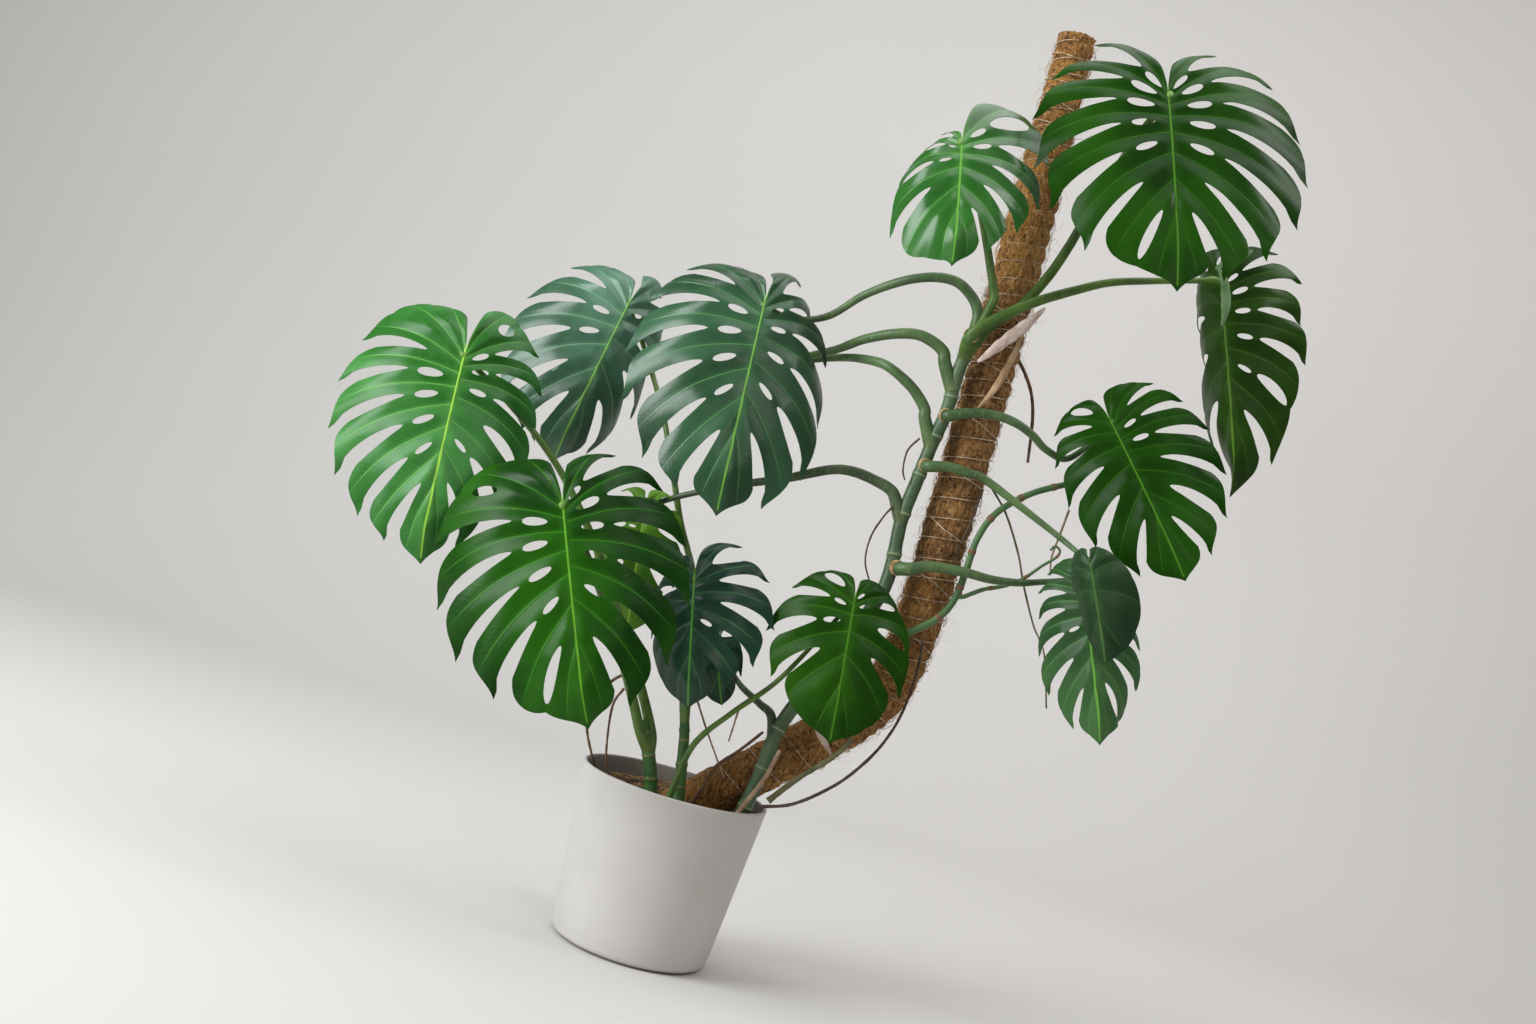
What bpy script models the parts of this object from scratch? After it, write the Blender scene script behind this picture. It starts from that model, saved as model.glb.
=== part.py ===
# Potted monstera on a bent coir pole, in metres, +Z up.
# The origin is the centre of the pot's flat underside.
import math

import bpy
import bmesh
from mathutils import Matrix, Vector

# pot and soil
POT_HEIGHT = 0.255
POT_TOP_RADIUS = 0.1425
POT_BASE_RADIUS = 0.119
POT_WALL = 0.007
POT_FLOOR = 0.009
POT_CORNER = 0.012
SOIL_TOP = 0.230
TURN_SEGMENTS = 28
GAP = 0.0004

# coir pole, which leans out of the pot and then stands upright
POLE_RADIUS = 0.037
STAKE_RADIUS = 0.0125
POLE_SIDES = 12
POLE_ROUTE = [(-0.050, 0, 0.155), (0.041, 0, 0.241), (0.125, 0, 0.321), (0.205, 0, 0.397), (0.257, 0, 0.465),
              (0.277, 0, 0.560), (0.281, 0, 0.690), (0.278, 0, 0.930), (0.270, 0, 1.200),
              (0.260, 0, 1.495)]
TWINE_RADIUS = 0.0011
TWINE_PITCH = 0.075
TWINE_STEPS = 12

# leaf blades
BLADE_THICKNESS = 0.0016
BLADE_ROWS = (0.0, 0.30, 0.53, 0.77, 1.0)
LOBE_STEPS = 2
SLIT_WIDTH = 0.15
SINUS_ANGLE = 166
REACH_STEP = 30
PETIOLE_GAP = 0.007

PALETTE = {
    "ceramic": ((0.66, 0.62, 0.56), 0.45),
    "soil": ((0.035, 0.022, 0.014), 0.95),
    "wood": ((0.38, 0.25, 0.13), 0.7),
    "coir": ((0.33, 0.16, 0.055), 0.95),
    "twine": ((0.62, 0.52, 0.38), 0.85),
    "leaf_bright": ((0.035, 0.20, 0.025), 0.35),
    "leaf_deep": ((0.015, 0.105, 0.02), 0.3),
    "stem": ((0.075, 0.17, 0.075), 0.5),
    "petiole": ((0.09, 0.21, 0.06), 0.45),
    "root": ((0.19, 0.10, 0.045), 0.8),
    "sheath": ((0.60, 0.47, 0.38), 0.8),
}

# One entry a leaf: where the petiole meets the blade, the swing of the tip from straight down towards +X,
# the pitch of the tip towards -Y, the angles that the halves fold back by, the midrib's length, and how far
# the margin reaches from the petiole, as shares of that length, at each REACH_STEP of angle off the tip.
# Left and right are as seen from the front, from -Y.
LEAVES = {
    "leaf_01": dict(base=(-0.463, -0.120, 0.775), swing=6, pitch=18, fold=(5, 30), length=0.298, lobes=7,
                    left=(0.84, 0.67, 0.52, 0.44, 0.30), right=(0.72, 0.54, 0.42, 0.37, 0.34),
                    colour="leaf_bright"),
    "leaf_02": dict(base=(-0.279, 0.065, 0.929), swing=-8, pitch=18, fold=(10, 42), length=0.261, lobes=6,
                    left=(0.88, 0.70, 0.50, 0.34, 0.22), right=(0.75, 0.40, 0.34, 0.32, 0.32),
                    colour="leaf_deep"),
    "leaf_03": dict(base=(-0.074, -0.080, 0.972), swing=4, pitch=20, fold=(5, 30), length=0.316, lobes=7,
                    left=(0.84, 0.66, 0.50, 0.36, 0.22), right=(0.80, 0.54, 0.36, 0.30, 0.28),
                    colour="leaf_deep"),
    "leaf_04": dict(base=(-0.255, -0.220, 0.611), swing=24, pitch=20, fold=(5, 20), length=0.298, lobes=7,
                    left=(0.88, 0.73, 0.60, 0.49, 0.33), right=(0.84, 0.66, 0.55, 0.45, 0.33),
                    colour="leaf_bright"),
    "leaf_05": dict(base=(-0.057, -0.110, 0.560), swing=14, pitch=20, fold=(30, 5), length=0.180, lobes=5,
                    left=(0.74, 0.50, 0.38, 0.32, 0.26), right=(0.82, 0.72, 0.59, 0.51, 0.40),
                    colour="leaf_deep"),
    "leaf_06": dict(base=(0.172, -0.105, 0.598), swing=6, pitch=18, fold=(10, 20), length=0.206, lobes=5,
                    left=(0.80, 0.65, 0.45, 0.33, 0.22), right=(0.79, 0.57, 0.36, 0.26, 0.20),
                    colour="leaf_bright"),
    "leaf_07": dict(base=(-0.162, 0.000, 0.637), swing=8, pitch=2, fold=(10, 10), length=0.190, lobes=4,
                    left=(0.64, 0.38, 0.28, 0.22, 0.18), right=(0.64, 0.38, 0.28, 0.22, 0.18),
                    colour="leaf_bright"),
    "leaf_08": dict(base=(-0.005, 0.010, 0.478), swing=22, pitch=5, fold=(10, 10), length=0.100, lobes=4,
                    left=(0.66, 0.44, 0.32, 0.26, 0.22), right=(0.66, 0.44, 0.32, 0.26, 0.22),
                    colour="leaf_deep"),
    "leaf_09": dict(base=(0.392, -0.150, 1.408), swing=14, pitch=28, fold=(5, 5), length=0.305, lobes=7,
                    left=(0.84, 0.67, 0.57, 0.50, 0.42), right=(0.88, 0.73, 0.63, 0.51, 0.32),
                    colour="leaf_deep"),
    "leaf_10": dict(base=(0.131, -0.160, 1.259), swing=10, pitch=30, fold=(25, 10), length=0.187, lobes=6,
                    left=(0.92, 0.60, 0.34, 0.24, 0.20), right=(0.80, 0.72, 0.68, 0.74, 0.62),
                    colour="leaf_bright"),
    "leaf_11": dict(base=(0.561, -0.030, 1.204), swing=20, pitch=8, fold=(76, 5), length=0.316, lobes=6,
                    left=(0.60, 0.40, 0.32, 0.26, 0.20), right=(0.66, 0.46, 0.37, 0.27, 0.18),
                    colour="leaf_deep"),
    "leaf_12": dict(base=(0.461, -0.050, 0.955), swing=39, pitch=20, fold=(15, 5), length=0.256, lobes=6,
                    left=(0.72, 0.47, 0.35, 0.29, 0.22), right=(0.80, 0.56, 0.41, 0.30, 0.22),
                    colour="leaf_deep"),
    "leaf_13": dict(base=(0.486, -0.070, 0.715), swing=22, pitch=12, fold=(35, 30), length=0.233, lobes=5,
                    left=(0.69, 0.40, 0.28, 0.24, 0.20), right=(0.72, 0.44, 0.28, 0.24, 0.20),
                    colour="leaf_bright"),
    "leaf_14": dict(base=(0.476, -0.135, 0.744), swing=26, pitch=2, fold=(60, 5), length=0.147, lobes=4,
                    left=(0.50, 0.36, 0.28, 0.22, 0.18), right=(0.77, 0.46, 0.28, 0.20, 0.17),
                    colour="leaf_deep"),
}

# Petioles: their route to the back of their blade, and the radius at each end.
PETIOLES = {
    "leaf_01": dict(route=[(-0.056, -0.058, 0.325), (-0.086, -0.055, 0.379), (-0.140, -0.050, 0.460),
                           (-0.210, -0.045, 0.560), (-0.280, -0.045, 0.641), (-0.340, -0.050, 0.693),
                           (-0.410, -0.072, 0.740)], radii=(0.0075, 0.0040)),
    "leaf_02": dict(route=[(-0.024, -0.050, 0.387), (-0.040, -0.020, 0.460), (-0.061, 0.020, 0.551),
                           (-0.107, 0.042, 0.632), (-0.145, 0.055, 0.712), (-0.183, 0.078, 0.785),
                           (-0.225, 0.114, 0.850), (-0.260, 0.106, 0.900)], radii=(0.0058, 0.0036)),
    "leaf_03": dict(route=[(0.232, -0.052, 1.034), (0.228, -0.052, 1.054), (0.214, -0.052, 1.071),
                           (0.188, -0.053, 1.085), (0.154, -0.052, 1.083), (0.111, -0.040, 1.066),
                           (0.063, -0.012, 1.034), (0.020, 0.002, 0.990), (-0.030, -0.022, 0.968)], radii=(0.0085, 0.0038)),
    "leaf_04": dict(route=[(-0.072, -0.076, 0.327), (-0.101, -0.085, 0.379), (-0.150, -0.105, 0.460),
                           (-0.210, -0.145, 0.550)], radii=(0.0075, 0.0045)),
    "leaf_05": dict(route=[(-0.019, -0.068, 0.385), (-0.030, -0.066, 0.430), (-0.044, -0.072, 0.500)],
                    radii=(0.0060, 0.0032)),
    "leaf_06": dict(route=[(-0.006, -0.092, 0.203), (-0.002, -0.090, 0.260), (0.010, -0.089, 0.331),
                           (0.050, -0.088, 0.390), (0.100, -0.087, 0.453), (0.145, -0.086, 0.540)],
                    radii=(0.0050, 0.0030)),
    "leaf_07": dict(route=[(0.190, -0.040, 0.757), (0.180, -0.040, 0.766), (0.163, -0.040, 0.771),
                           (0.124, -0.040, 0.776), (0.088, -0.040, 0.769), (0.028, -0.038, 0.738),
                           (-0.044, -0.020, 0.706), (-0.117, 0.012, 0.668)], radii=(0.0085, 0.0036)),
    "leaf_08": dict(route=[(0.106, -0.052, 0.398), (0.085, -0.032, 0.408), (0.050, 0.015, 0.422),
                           (0.015, 0.034, 0.452)], radii=(0.0065, 0.0030)),
    "leaf_09": dict(route=[(0.254, -0.0525, 1.040), (0.285, -0.053, 1.075), (0.311, -0.055, 1.126),
                           (0.329, -0.060, 1.181), (0.345, -0.072, 1.250), (0.372, -0.100, 1.345)],
                    radii=(0.0082, 0.0050)),
    "leaf_10": dict(route=[(0.243, -0.071, 1.062), (0.243, -0.072, 1.080), (0.226, -0.075, 1.116),
                           (0.209, -0.080, 1.150), (0.173, -0.100, 1.213)], radii=(0.0070, 0.0042)),
    "leaf_11": dict(route=[(0.228, -0.073, 1.015), (0.257, -0.075, 1.048), (0.303, -0.076, 1.086),
                           (0.351, -0.076, 1.117), (0.400, -0.070, 1.145), (0.463, -0.058, 1.168),
                           (0.530, -0.047, 1.190)], radii=(0.0085, 0.0036), end=(0.552, -0.041, 1.200)),
    "leaf_12": dict(route=[(0.230, -0.062, 0.893), (0.264, -0.063, 0.907), (0.300, -0.063, 0.913),
                           (0.330, -0.062, 0.910), (0.358, -0.052, 0.901), (0.385, -0.035, 0.888),
                           (0.420, -0.012, 0.885), (0.448, -0.008, 0.915)], radii=(0.0075, 0.0036)),
    "leaf_13": dict(route=[(0.236, -0.067, 0.661), (0.267, -0.066, 0.674), (0.316, -0.064, 0.680),
                           (0.357, -0.062, 0.681), (0.401, -0.046, 0.688), (0.440, -0.020, 0.700),
                           (0.470, -0.030, 0.711)],
                    radii=(0.0092, 0.0030)),
    "leaf_14": dict(route=[(0.224, -0.061, 0.814), (0.250, -0.062, 0.821), (0.279, -0.062, 0.821),
                           (0.309, -0.062, 0.818), (0.380, -0.072, 0.790), (0.440, -0.092, 0.764)],
                    radii=(0.0075, 0.0032)),
}

# Other stems: route and radius at each end.
STEMS = {
    "stem_main": dict(route=[(0.095, -0.062, 0.200), (0.108, -0.060, 0.265), (0.116, -0.058, 0.322),
                             (0.121, -0.058, 0.379), (0.140, -0.057, 0.436), (0.178, -0.055, 0.525),
                             (0.208, -0.050, 0.607), (0.214, -0.045, 0.655), (0.209, -0.040, 0.725),
                             (0.214, -0.040, 0.785), (0.220, -0.040, 0.845), (0.227, -0.042, 0.900),
                             (0.227, -0.044, 0.955), (0.230, -0.048, 0.990), (0.238, -0.052, 1.018)],
                      radii=(0.0105, 0.0090), sides=8, steps=1),
    "stem_left": dict(route=[(-0.025, -0.065, 0.195), (-0.035, -0.065, 0.255), (-0.049, -0.066, 0.293),
                             (-0.060, -0.067, 0.312)], radii=(0.0120, 0.0105), sides=8, steps=2),
    "stem_centre": dict(route=[(0.016, -0.066, 0.195), (0.009, -0.065, 0.250), (-0.006, -0.063, 0.328),
                               (-0.018, -0.060, 0.371)], radii=(0.0095, 0.0085), sides=8, steps=2),
    "side_shoot": dict(route=[(0.270, -0.050, 0.575), (0.302, -0.048, 0.606), (0.317, -0.045, 0.639),
                              (0.321, -0.045, 0.681), (0.323, -0.045, 0.729), (0.335, -0.042, 0.768),
                              (0.357, -0.038, 0.797), (0.389, -0.030, 0.824), (0.430, -0.012, 0.848)],
                       radii=(0.0042, 0.0026), sides=6, steps=1),
    "shoot_branch": dict(route=[(0.326, -0.045, 0.644), (0.355, -0.038, 0.664), (0.386, -0.034, 0.679),
                                (0.409, -0.032, 0.698), (0.427, -0.032, 0.720), (0.444, -0.034, 0.739)],
                         radii=(0.0026, 0.0014), sides=5, steps=1),
    "cut_petiole_upper": dict(route=[(0.205, -0.044, 0.966), (0.198, -0.044, 0.982), (0.179, -0.044, 0.992),
                                     (0.153, -0.043, 0.996), (0.118, -0.036, 0.987), (0.080, -0.008, 0.970),
                                     (0.046, 0.018, 0.947), (0.000, 0.026, 0.922)], radii=(0.0095, 0.0055), sides=6, steps=1),
    "cut_petiole_lower": dict(route=[(0.200, -0.041, 0.880), (0.194, -0.040, 0.896), (0.169, -0.038, 0.919),
                                     (0.134, -0.033, 0.937), (0.112, -0.020, 0.943), (0.080, 0.012, 0.943),
                                     (0.049, 0.040, 0.937), (-0.010, 0.046, 0.915)], radii=(0.0090, 0.0050), sides=6, steps=1),
}

# Aerial roots and dry twigs.
ROOTS = {
    "root_loop": dict(route=[(0.131, -0.066, 0.268), (0.169, -0.064, 0.282), (0.204, -0.062, 0.308),
                             (0.237, -0.060, 0.342), (0.266, -0.058, 0.387), (0.283, -0.056, 0.429),
                             (0.291, -0.054, 0.471), (0.293, -0.052, 0.520), (0.289, -0.050, 0.564)],
                      radius=0.0026),
    "root_thick": dict(route=[(0.137, -0.062, 0.278), (0.170, -0.060, 0.322), (0.211, -0.054, 0.366),
                              (0.231, -0.050, 0.398)], radius=0.0048),
    "root_pale": dict(route=[(0.092, -0.083, 0.2335), (0.103, -0.080, 0.262), (0.122, -0.077, 0.310),
                             (0.132, -0.076, 0.356)], radius=0.0040),
    "root_arch": dict(route=[(0.030, -0.062, 0.2335), (0.038, -0.062, 0.265), (0.050, -0.061, 0.305),
                             (0.074, -0.060, 0.334), (0.102, -0.044, 0.370)], radius=0.0030),
    "root_rim_back": dict(route=[(-0.108, -0.035, 0.400), (-0.135, -0.020, 0.375), (-0.155, -0.005, 0.325),
                                 (-0.149, 0.000, 0.290), (-0.125, 0.005, 0.246), (-0.112, 0.010, 0.2315)],
                          radius=0.0024),
    "root_rim_front": dict(route=[(-0.112, -0.060, 0.375), (-0.121, -0.052, 0.345), (-0.113, -0.046, 0.286),
                                  (-0.098, -0.045, 0.2315)], radius=0.0020),
    "root_hanging": dict(route=[(0.312, 0.052, 1.020), (0.332, 0.045, 0.997), (0.349, 0.035, 0.969),
                                (0.361, 0.028, 0.932), (0.372, 0.022, 0.866)], radius=0.0030),
    "root_long": dict(route=[(0.334, 0.030, 0.812), (0.364, 0.030, 0.782), (0.398, 0.028, 0.730),
                             (0.420, 0.026, 0.685), (0.450, 0.024, 0.633), (0.478, 0.022, 0.595),
                             (0.504, 0.020, 0.518)], radius=0.0017),
    "root_stem_low": dict(route=[(0.190, -0.048, 0.742), (0.180, -0.050, 0.720), (0.172, -0.052, 0.690),
                                 (0.174, -0.054, 0.655), (0.190, -0.056, 0.625)], radius=0.0016),
    "root_stem_high": dict(route=[(0.200, -0.050, 0.850), (0.188, -0.052, 0.828), (0.189, -0.053, 0.800),
                                  (0.196, -0.052, 0.785)], radius=0.0016),
    "root_on_pole": dict(route=[(0.311, -0.045, 0.805), (0.308, -0.046, 0.760), (0.302, -0.047, 0.718),
                                (0.298, -0.048, 0.692)], radius=0.0016),
    "twig_left": dict(route=[(-0.006, -0.040, 0.390), (0.025, -0.046, 0.345), (0.066, -0.052, 0.290)],
                      radius=0.0016),
    "twig_middle": dict(route=[(0.058, -0.062, 0.392), (0.057, -0.064, 0.345)], radius=0.0016),
    "twig_right": dict(route=[(0.451, 0.015, 0.815), (0.448, 0.012, 0.776), (0.445, 0.008, 0.738),
                              (0.450, 0.004, 0.712)], radius=0.0018),
}

# Dry papery sheaths that lie against the pole: route, half width and half thickness.
SHEATHS = {
    "sheath_top": dict(route=[(0.252, -0.089, 0.985), (0.270, -0.091, 1.010), (0.292, -0.092, 1.040),
                              (0.308, -0.091, 1.064)], width=0.0075, thickness=0.0012),
    "sheath_tail": dict(route=[(0.303, -0.047, 1.045), (0.297, -0.046, 1.000), (0.288, -0.047, 0.960),
                               (0.277, -0.048, 0.932)], width=0.0040, thickness=0.0010),
    "sheath_low": dict(route=[(0.162, -0.030, 0.412), (0.176, -0.042, 0.399), (0.192, -0.047, 0.383),
                              (0.209, -0.042, 0.366)], width=0.0048, thickness=0.0010),
}


def clear_scene():
    for old in list(bpy.data.objects):
        bpy.data.objects.remove(old, do_unlink=True)


def material(name):
    found = bpy.data.materials.get(name)
    if found:
        return found
    colour, roughness = PALETTE[name]
    made = bpy.data.materials.new(name)
    made.use_nodes = True
    made.diffuse_color = (*colour, 1.0)
    shader = made.node_tree.nodes["Principled BSDF"]
    shader.inputs["Base Color"].default_value = (*colour, 1.0)
    shader.inputs["Roughness"].default_value = roughness
    shader.inputs["Metallic"].default_value = 0.0
    return made


def place(bm, name, look, parent, location=(0, 0, 0)):
    mesh = bpy.data.meshes.new(name)
    bm.to_mesh(mesh)
    bm.free()
    obj = bpy.data.objects.new(name, mesh)
    bpy.context.scene.collection.objects.link(obj)
    obj.location = location
    obj.parent = parent
    mesh.materials.append(material(look))
    mesh.shade_smooth()
    mesh.set_sharp_from_angle(angle=math.radians(40))
    return obj


def turned(profile, segments):
    # a closed body from (radius, height) pairs that start and end on the axis
    bm = bmesh.new()
    rings = []
    for radius, height in profile:
        if radius < 1e-6:
            rings.append([bm.verts.new((0, 0, height))])
            continue
        angles = [math.tau * i / segments for i in range(segments)]
        rings.append([bm.verts.new((radius * math.cos(a), radius * math.sin(a), height)) for a in angles])
    for lower, upper in zip(rings, rings[1:]):
        for i in range(segments):
            j = (i + 1) % segments
            if len(lower) == 1:
                bm.faces.new((lower[0], upper[j], upper[i]))
            elif len(upper) == 1:
                bm.faces.new((lower[i], lower[j], upper[0]))
            else:
                bm.faces.new((lower[i], lower[j], upper[j], upper[i]))
    bmesh.ops.recalc_face_normals(bm, faces=bm.faces)
    return bm


def smooth_route(points, steps):
    # Catmull-Rom curve through the route's points
    knots = [Vector(p) for p in points]
    knots = [knots[0] * 2 - knots[1]] + knots + [knots[-1] * 2 - knots[-2]]
    path = []
    for a, b, c, d in zip(knots, knots[1:], knots[2:], knots[3:]):
        for i in range(steps):
            t = i / steps
            path.append(0.5 * (2 * b + (c - a) * t + (2 * a - 5 * b + 4 * c - d) * t * t
                               + (3 * b - a - 3 * c + d) * t * t * t))
    path.append(knots[-2])
    return path


def route_frames(path):
    # a tangent, a normal kept as near to Y as it can be, and the direction across both
    frames = []
    for i, point in enumerate(path):
        ahead = path[min(i + 1, len(path) - 1)]
        behind = path[max(i - 1, 0)]
        tangent = (ahead - behind).normalized()
        normal = (Vector((0, 1, 0)) - tangent * tangent.y).normalized()
        frames.append((point, tangent, normal, tangent.cross(normal)))
    return frames


def ring(bm, frame, along_normal, across, sides):
    point, _, normal, cross = frame
    corners = []
    for i in range(sides):
        angle = math.tau * i / sides
        corners.append(bm.verts.new(point + normal * along_normal * math.cos(angle)
                                    + cross * across * math.sin(angle)))
    return corners


def bridge(bm, lower, upper):
    count = len(lower)
    for i in range(count):
        j = (i + 1) % count
        bm.faces.new((lower[i], lower[j], upper[j], upper[i]))


def tube(path, radii, sides, flatness=1.0):
    # flatness below 1 squeezes the section along its normal
    bm = bmesh.new()
    frames = route_frames(path)
    rings = []
    for i, frame in enumerate(frames):
        share = i / (len(frames) - 1)
        radius = radii[0] + (radii[1] - radii[0]) * share
        rings.append(ring(bm, frame, radius * flatness, radius, sides))
    for lower, upper in zip(rings, rings[1:]):
        bridge(bm, lower, upper)
    bm.faces.new(list(reversed(rings[0])))
    bm.faces.new(rings[-1])
    bmesh.ops.recalc_face_normals(bm, faces=bm.faces)
    return bm


def pot_profile():
    slope = (POT_TOP_RADIUS - POT_BASE_RADIUS) / POT_HEIGHT
    profile = [(0, 0), (POT_BASE_RADIUS - POT_CORNER, 0)]
    for degrees in (30, 60, 90):
        angle = math.radians(degrees)
        profile.append((POT_BASE_RADIUS - POT_CORNER + POT_CORNER * math.sin(angle),
                        POT_CORNER - POT_CORNER * math.cos(angle)))
    rim = POT_WALL / 2
    middle = POT_TOP_RADIUS - rim
    profile.append((POT_TOP_RADIUS - slope * rim, POT_HEIGHT - rim))
    for degrees in (45, 90, 135):
        angle = math.radians(degrees)
        profile.append((middle + rim * math.cos(angle), POT_HEIGHT - rim + rim * math.sin(angle)))
    profile.append((inner_radius(POT_HEIGHT - rim), POT_HEIGHT - rim))
    profile.append((inner_radius(POT_FLOOR), POT_FLOOR))
    profile.append((0, POT_FLOOR))
    return profile


def inner_radius(height):
    slope = (POT_TOP_RADIUS - POT_BASE_RADIUS) / POT_HEIGHT
    return POT_BASE_RADIUS + slope * height - POT_WALL


def make_pot(parent):
    return place(turned(pot_profile(), TURN_SEGMENTS), "pot", "ceramic", parent)


def make_soil(parent, cutters):
    low = POT_FLOOR + GAP
    edge = SOIL_TOP - 0.004
    profile = [(0, low), (inner_radius(low) - GAP, low), (inner_radius(edge) - GAP, edge),
               (inner_radius(edge) - 0.010, SOIL_TOP), (0, SOIL_TOP)]
    soil = place(turned(profile, TURN_SEGMENTS), "soil", "soil", parent)
    for cutter in cutters:
        socket = soil.modifiers.new("socket", "BOOLEAN")
        socket.operation = "DIFFERENCE"
        socket.solver = "EXACT"
        socket.object = cutter
    return soil


def socket_cutter(name, route, radius, sides, steps, parent):
    # the stretch of a stem that stands in the soil, two gaps wider and a gap longer
    path = smooth_route(route, steps)
    path[0] = path[0] - (path[1] - path[0]).normalized() * GAP
    cutter = place(tube(path, (radius + 2 * GAP, radius + 2 * GAP), sides), name, "soil", parent)
    cutter.hide_render = True
    cutter.display_type = "WIRE"
    return cutter


def make_pole(parent):
    path = smooth_route(POLE_ROUTE, 2)
    frames = route_frames(path)
    bm = bmesh.new()
    outer = [ring(bm, frame, POLE_RADIUS, POLE_RADIUS, POLE_SIDES) for frame in frames]
    bore = STAKE_RADIUS + 0.001
    inner = [ring(bm, frame, bore, bore, POLE_SIDES) for frame in frames]
    for lower, upper in zip(outer, outer[1:]):
        bridge(bm, lower, upper)
    for lower, upper in zip(inner, inner[1:]):
        bridge(bm, list(reversed(lower)), list(reversed(upper)))
    bridge(bm, outer[-1], inner[-1])
    bridge(bm, list(reversed(outer[0])), list(reversed(inner[0])))
    bmesh.ops.recalc_face_normals(bm, faces=bm.faces)
    place(bm, "pole_coir", "coir", parent)
    stake = tube(path[:-1], (STAKE_RADIUS, STAKE_RADIUS), 8)
    place(stake, "pole_stake", "wood", parent)


def make_twine(parent):
    # one long lashing that climbs the upper pole in an open helix
    frames = route_frames(smooth_route(POLE_ROUTE[4:], 6))
    lengths = [0.0]
    for here, there in zip(frames, frames[1:]):
        lengths.append(lengths[-1] + (there[0] - here[0]).length)
    around = (POLE_RADIUS + GAP + TWINE_RADIUS) / math.cos(math.pi / TWINE_STEPS)
    start = 0.02
    finish = lengths[-1] - 0.02
    count = int((finish - start) / TWINE_PITCH * TWINE_STEPS)
    path = []
    for step in range(count + 1):
        length = start + step * TWINE_PITCH / TWINE_STEPS
        span = max(i for i, value in enumerate(lengths) if value <= length)
        span = min(span, len(frames) - 2)
        share = (length - lengths[span]) / (lengths[span + 1] - lengths[span])
        point = frames[span][0].lerp(frames[span + 1][0], share)
        normal = frames[span][2].lerp(frames[span + 1][2], share)
        cross = frames[span][3].lerp(frames[span + 1][3], share)
        angle = math.tau * step / TWINE_STEPS
        path.append(point + normal * around * math.cos(angle) + cross * around * math.sin(angle))
    place(helix_tube(path, TWINE_RADIUS), "pole_twine", "twine", parent)


def helix_tube(path, radius):
    # a square section carried along without twist
    bm = bmesh.new()
    rings = []
    normal = Vector((0, 0, 1))
    for i, point in enumerate(path):
        ahead = path[min(i + 1, len(path) - 1)]
        behind = path[max(i - 1, 0)]
        tangent = (ahead - behind).normalized()
        normal = (normal - tangent * normal.dot(tangent)).normalized()
        rings.append(ring(bm, (point, tangent, normal, tangent.cross(normal)), radius, radius, 3))
    for lower, upper in zip(rings, rings[1:]):
        bridge(bm, lower, upper)
    bm.faces.new(list(reversed(rings[0])))
    bm.faces.new(rings[-1])
    bmesh.ops.recalc_face_normals(bm, faces=bm.faces)
    return bm


def margin_reach(angle, reaches):
    # a smooth curve through the reaches, which mirror at the tip and draw in at the sinus
    knots = [reaches[0], 1.0, *reaches, reaches[-1] * 0.8, reaches[-1] * 0.7]
    span = min(int(angle / REACH_STEP), len(knots) - 4)
    t = angle / REACH_STEP - span
    a, b, c, d = knots[span:span + 4]
    return 0.5 * (2 * b + (c - a) * t + (2 * a - 5 * b + 4 * c - d) * t * t
                  + (3 * b - a - 3 * c + d) * t * t * t)


def vein_point(along, out, reaches):
    # along runs from the basal lobe to the tip and out from the midrib to the margin
    angle = SINUS_ANGLE * (1 - along) ** 1.4
    reach = margin_reach(angle, reaches)
    angle = math.radians(angle)
    rib = Vector((0, 0.86 * along ** 1.9))
    end = Vector((reach * math.sin(angle), reach * math.cos(angle)))
    chord = end - rib
    bulge = Vector((chord.y, -chord.x)) * 0.09
    control = (rib + end) / 2 + bulge * min(1.0, 3 * (1 - along))
    return rib * (1 - out) ** 2 + control * 2 * out * (1 - out) + end * out * out


def slit_half_width(out, opening):
    if out <= opening:
        return 0.0
    share = (out - opening) / (1 - opening)
    return SLIT_WIDTH * (math.sqrt(max(0.0, 4 * share * (1 - share))) + 0.35 * share)


def folded(side, flat, fold, length):
    # the halves rise from the midrib, fall to the margin and fold back, and the tip and basal lobes hang
    u = flat.x / length
    v = flat.y / length
    rise = length * (0.16 * u - 0.34 * u * u)
    hang = length * v * v * (0.10 if v > 0 else 0.30)
    angle = math.radians(fold)
    across = flat.x * math.cos(angle) + rise * math.sin(angle)
    height = rise * math.cos(angle) - flat.x * math.sin(angle)
    return side * across, flat.y, height - hang


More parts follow.
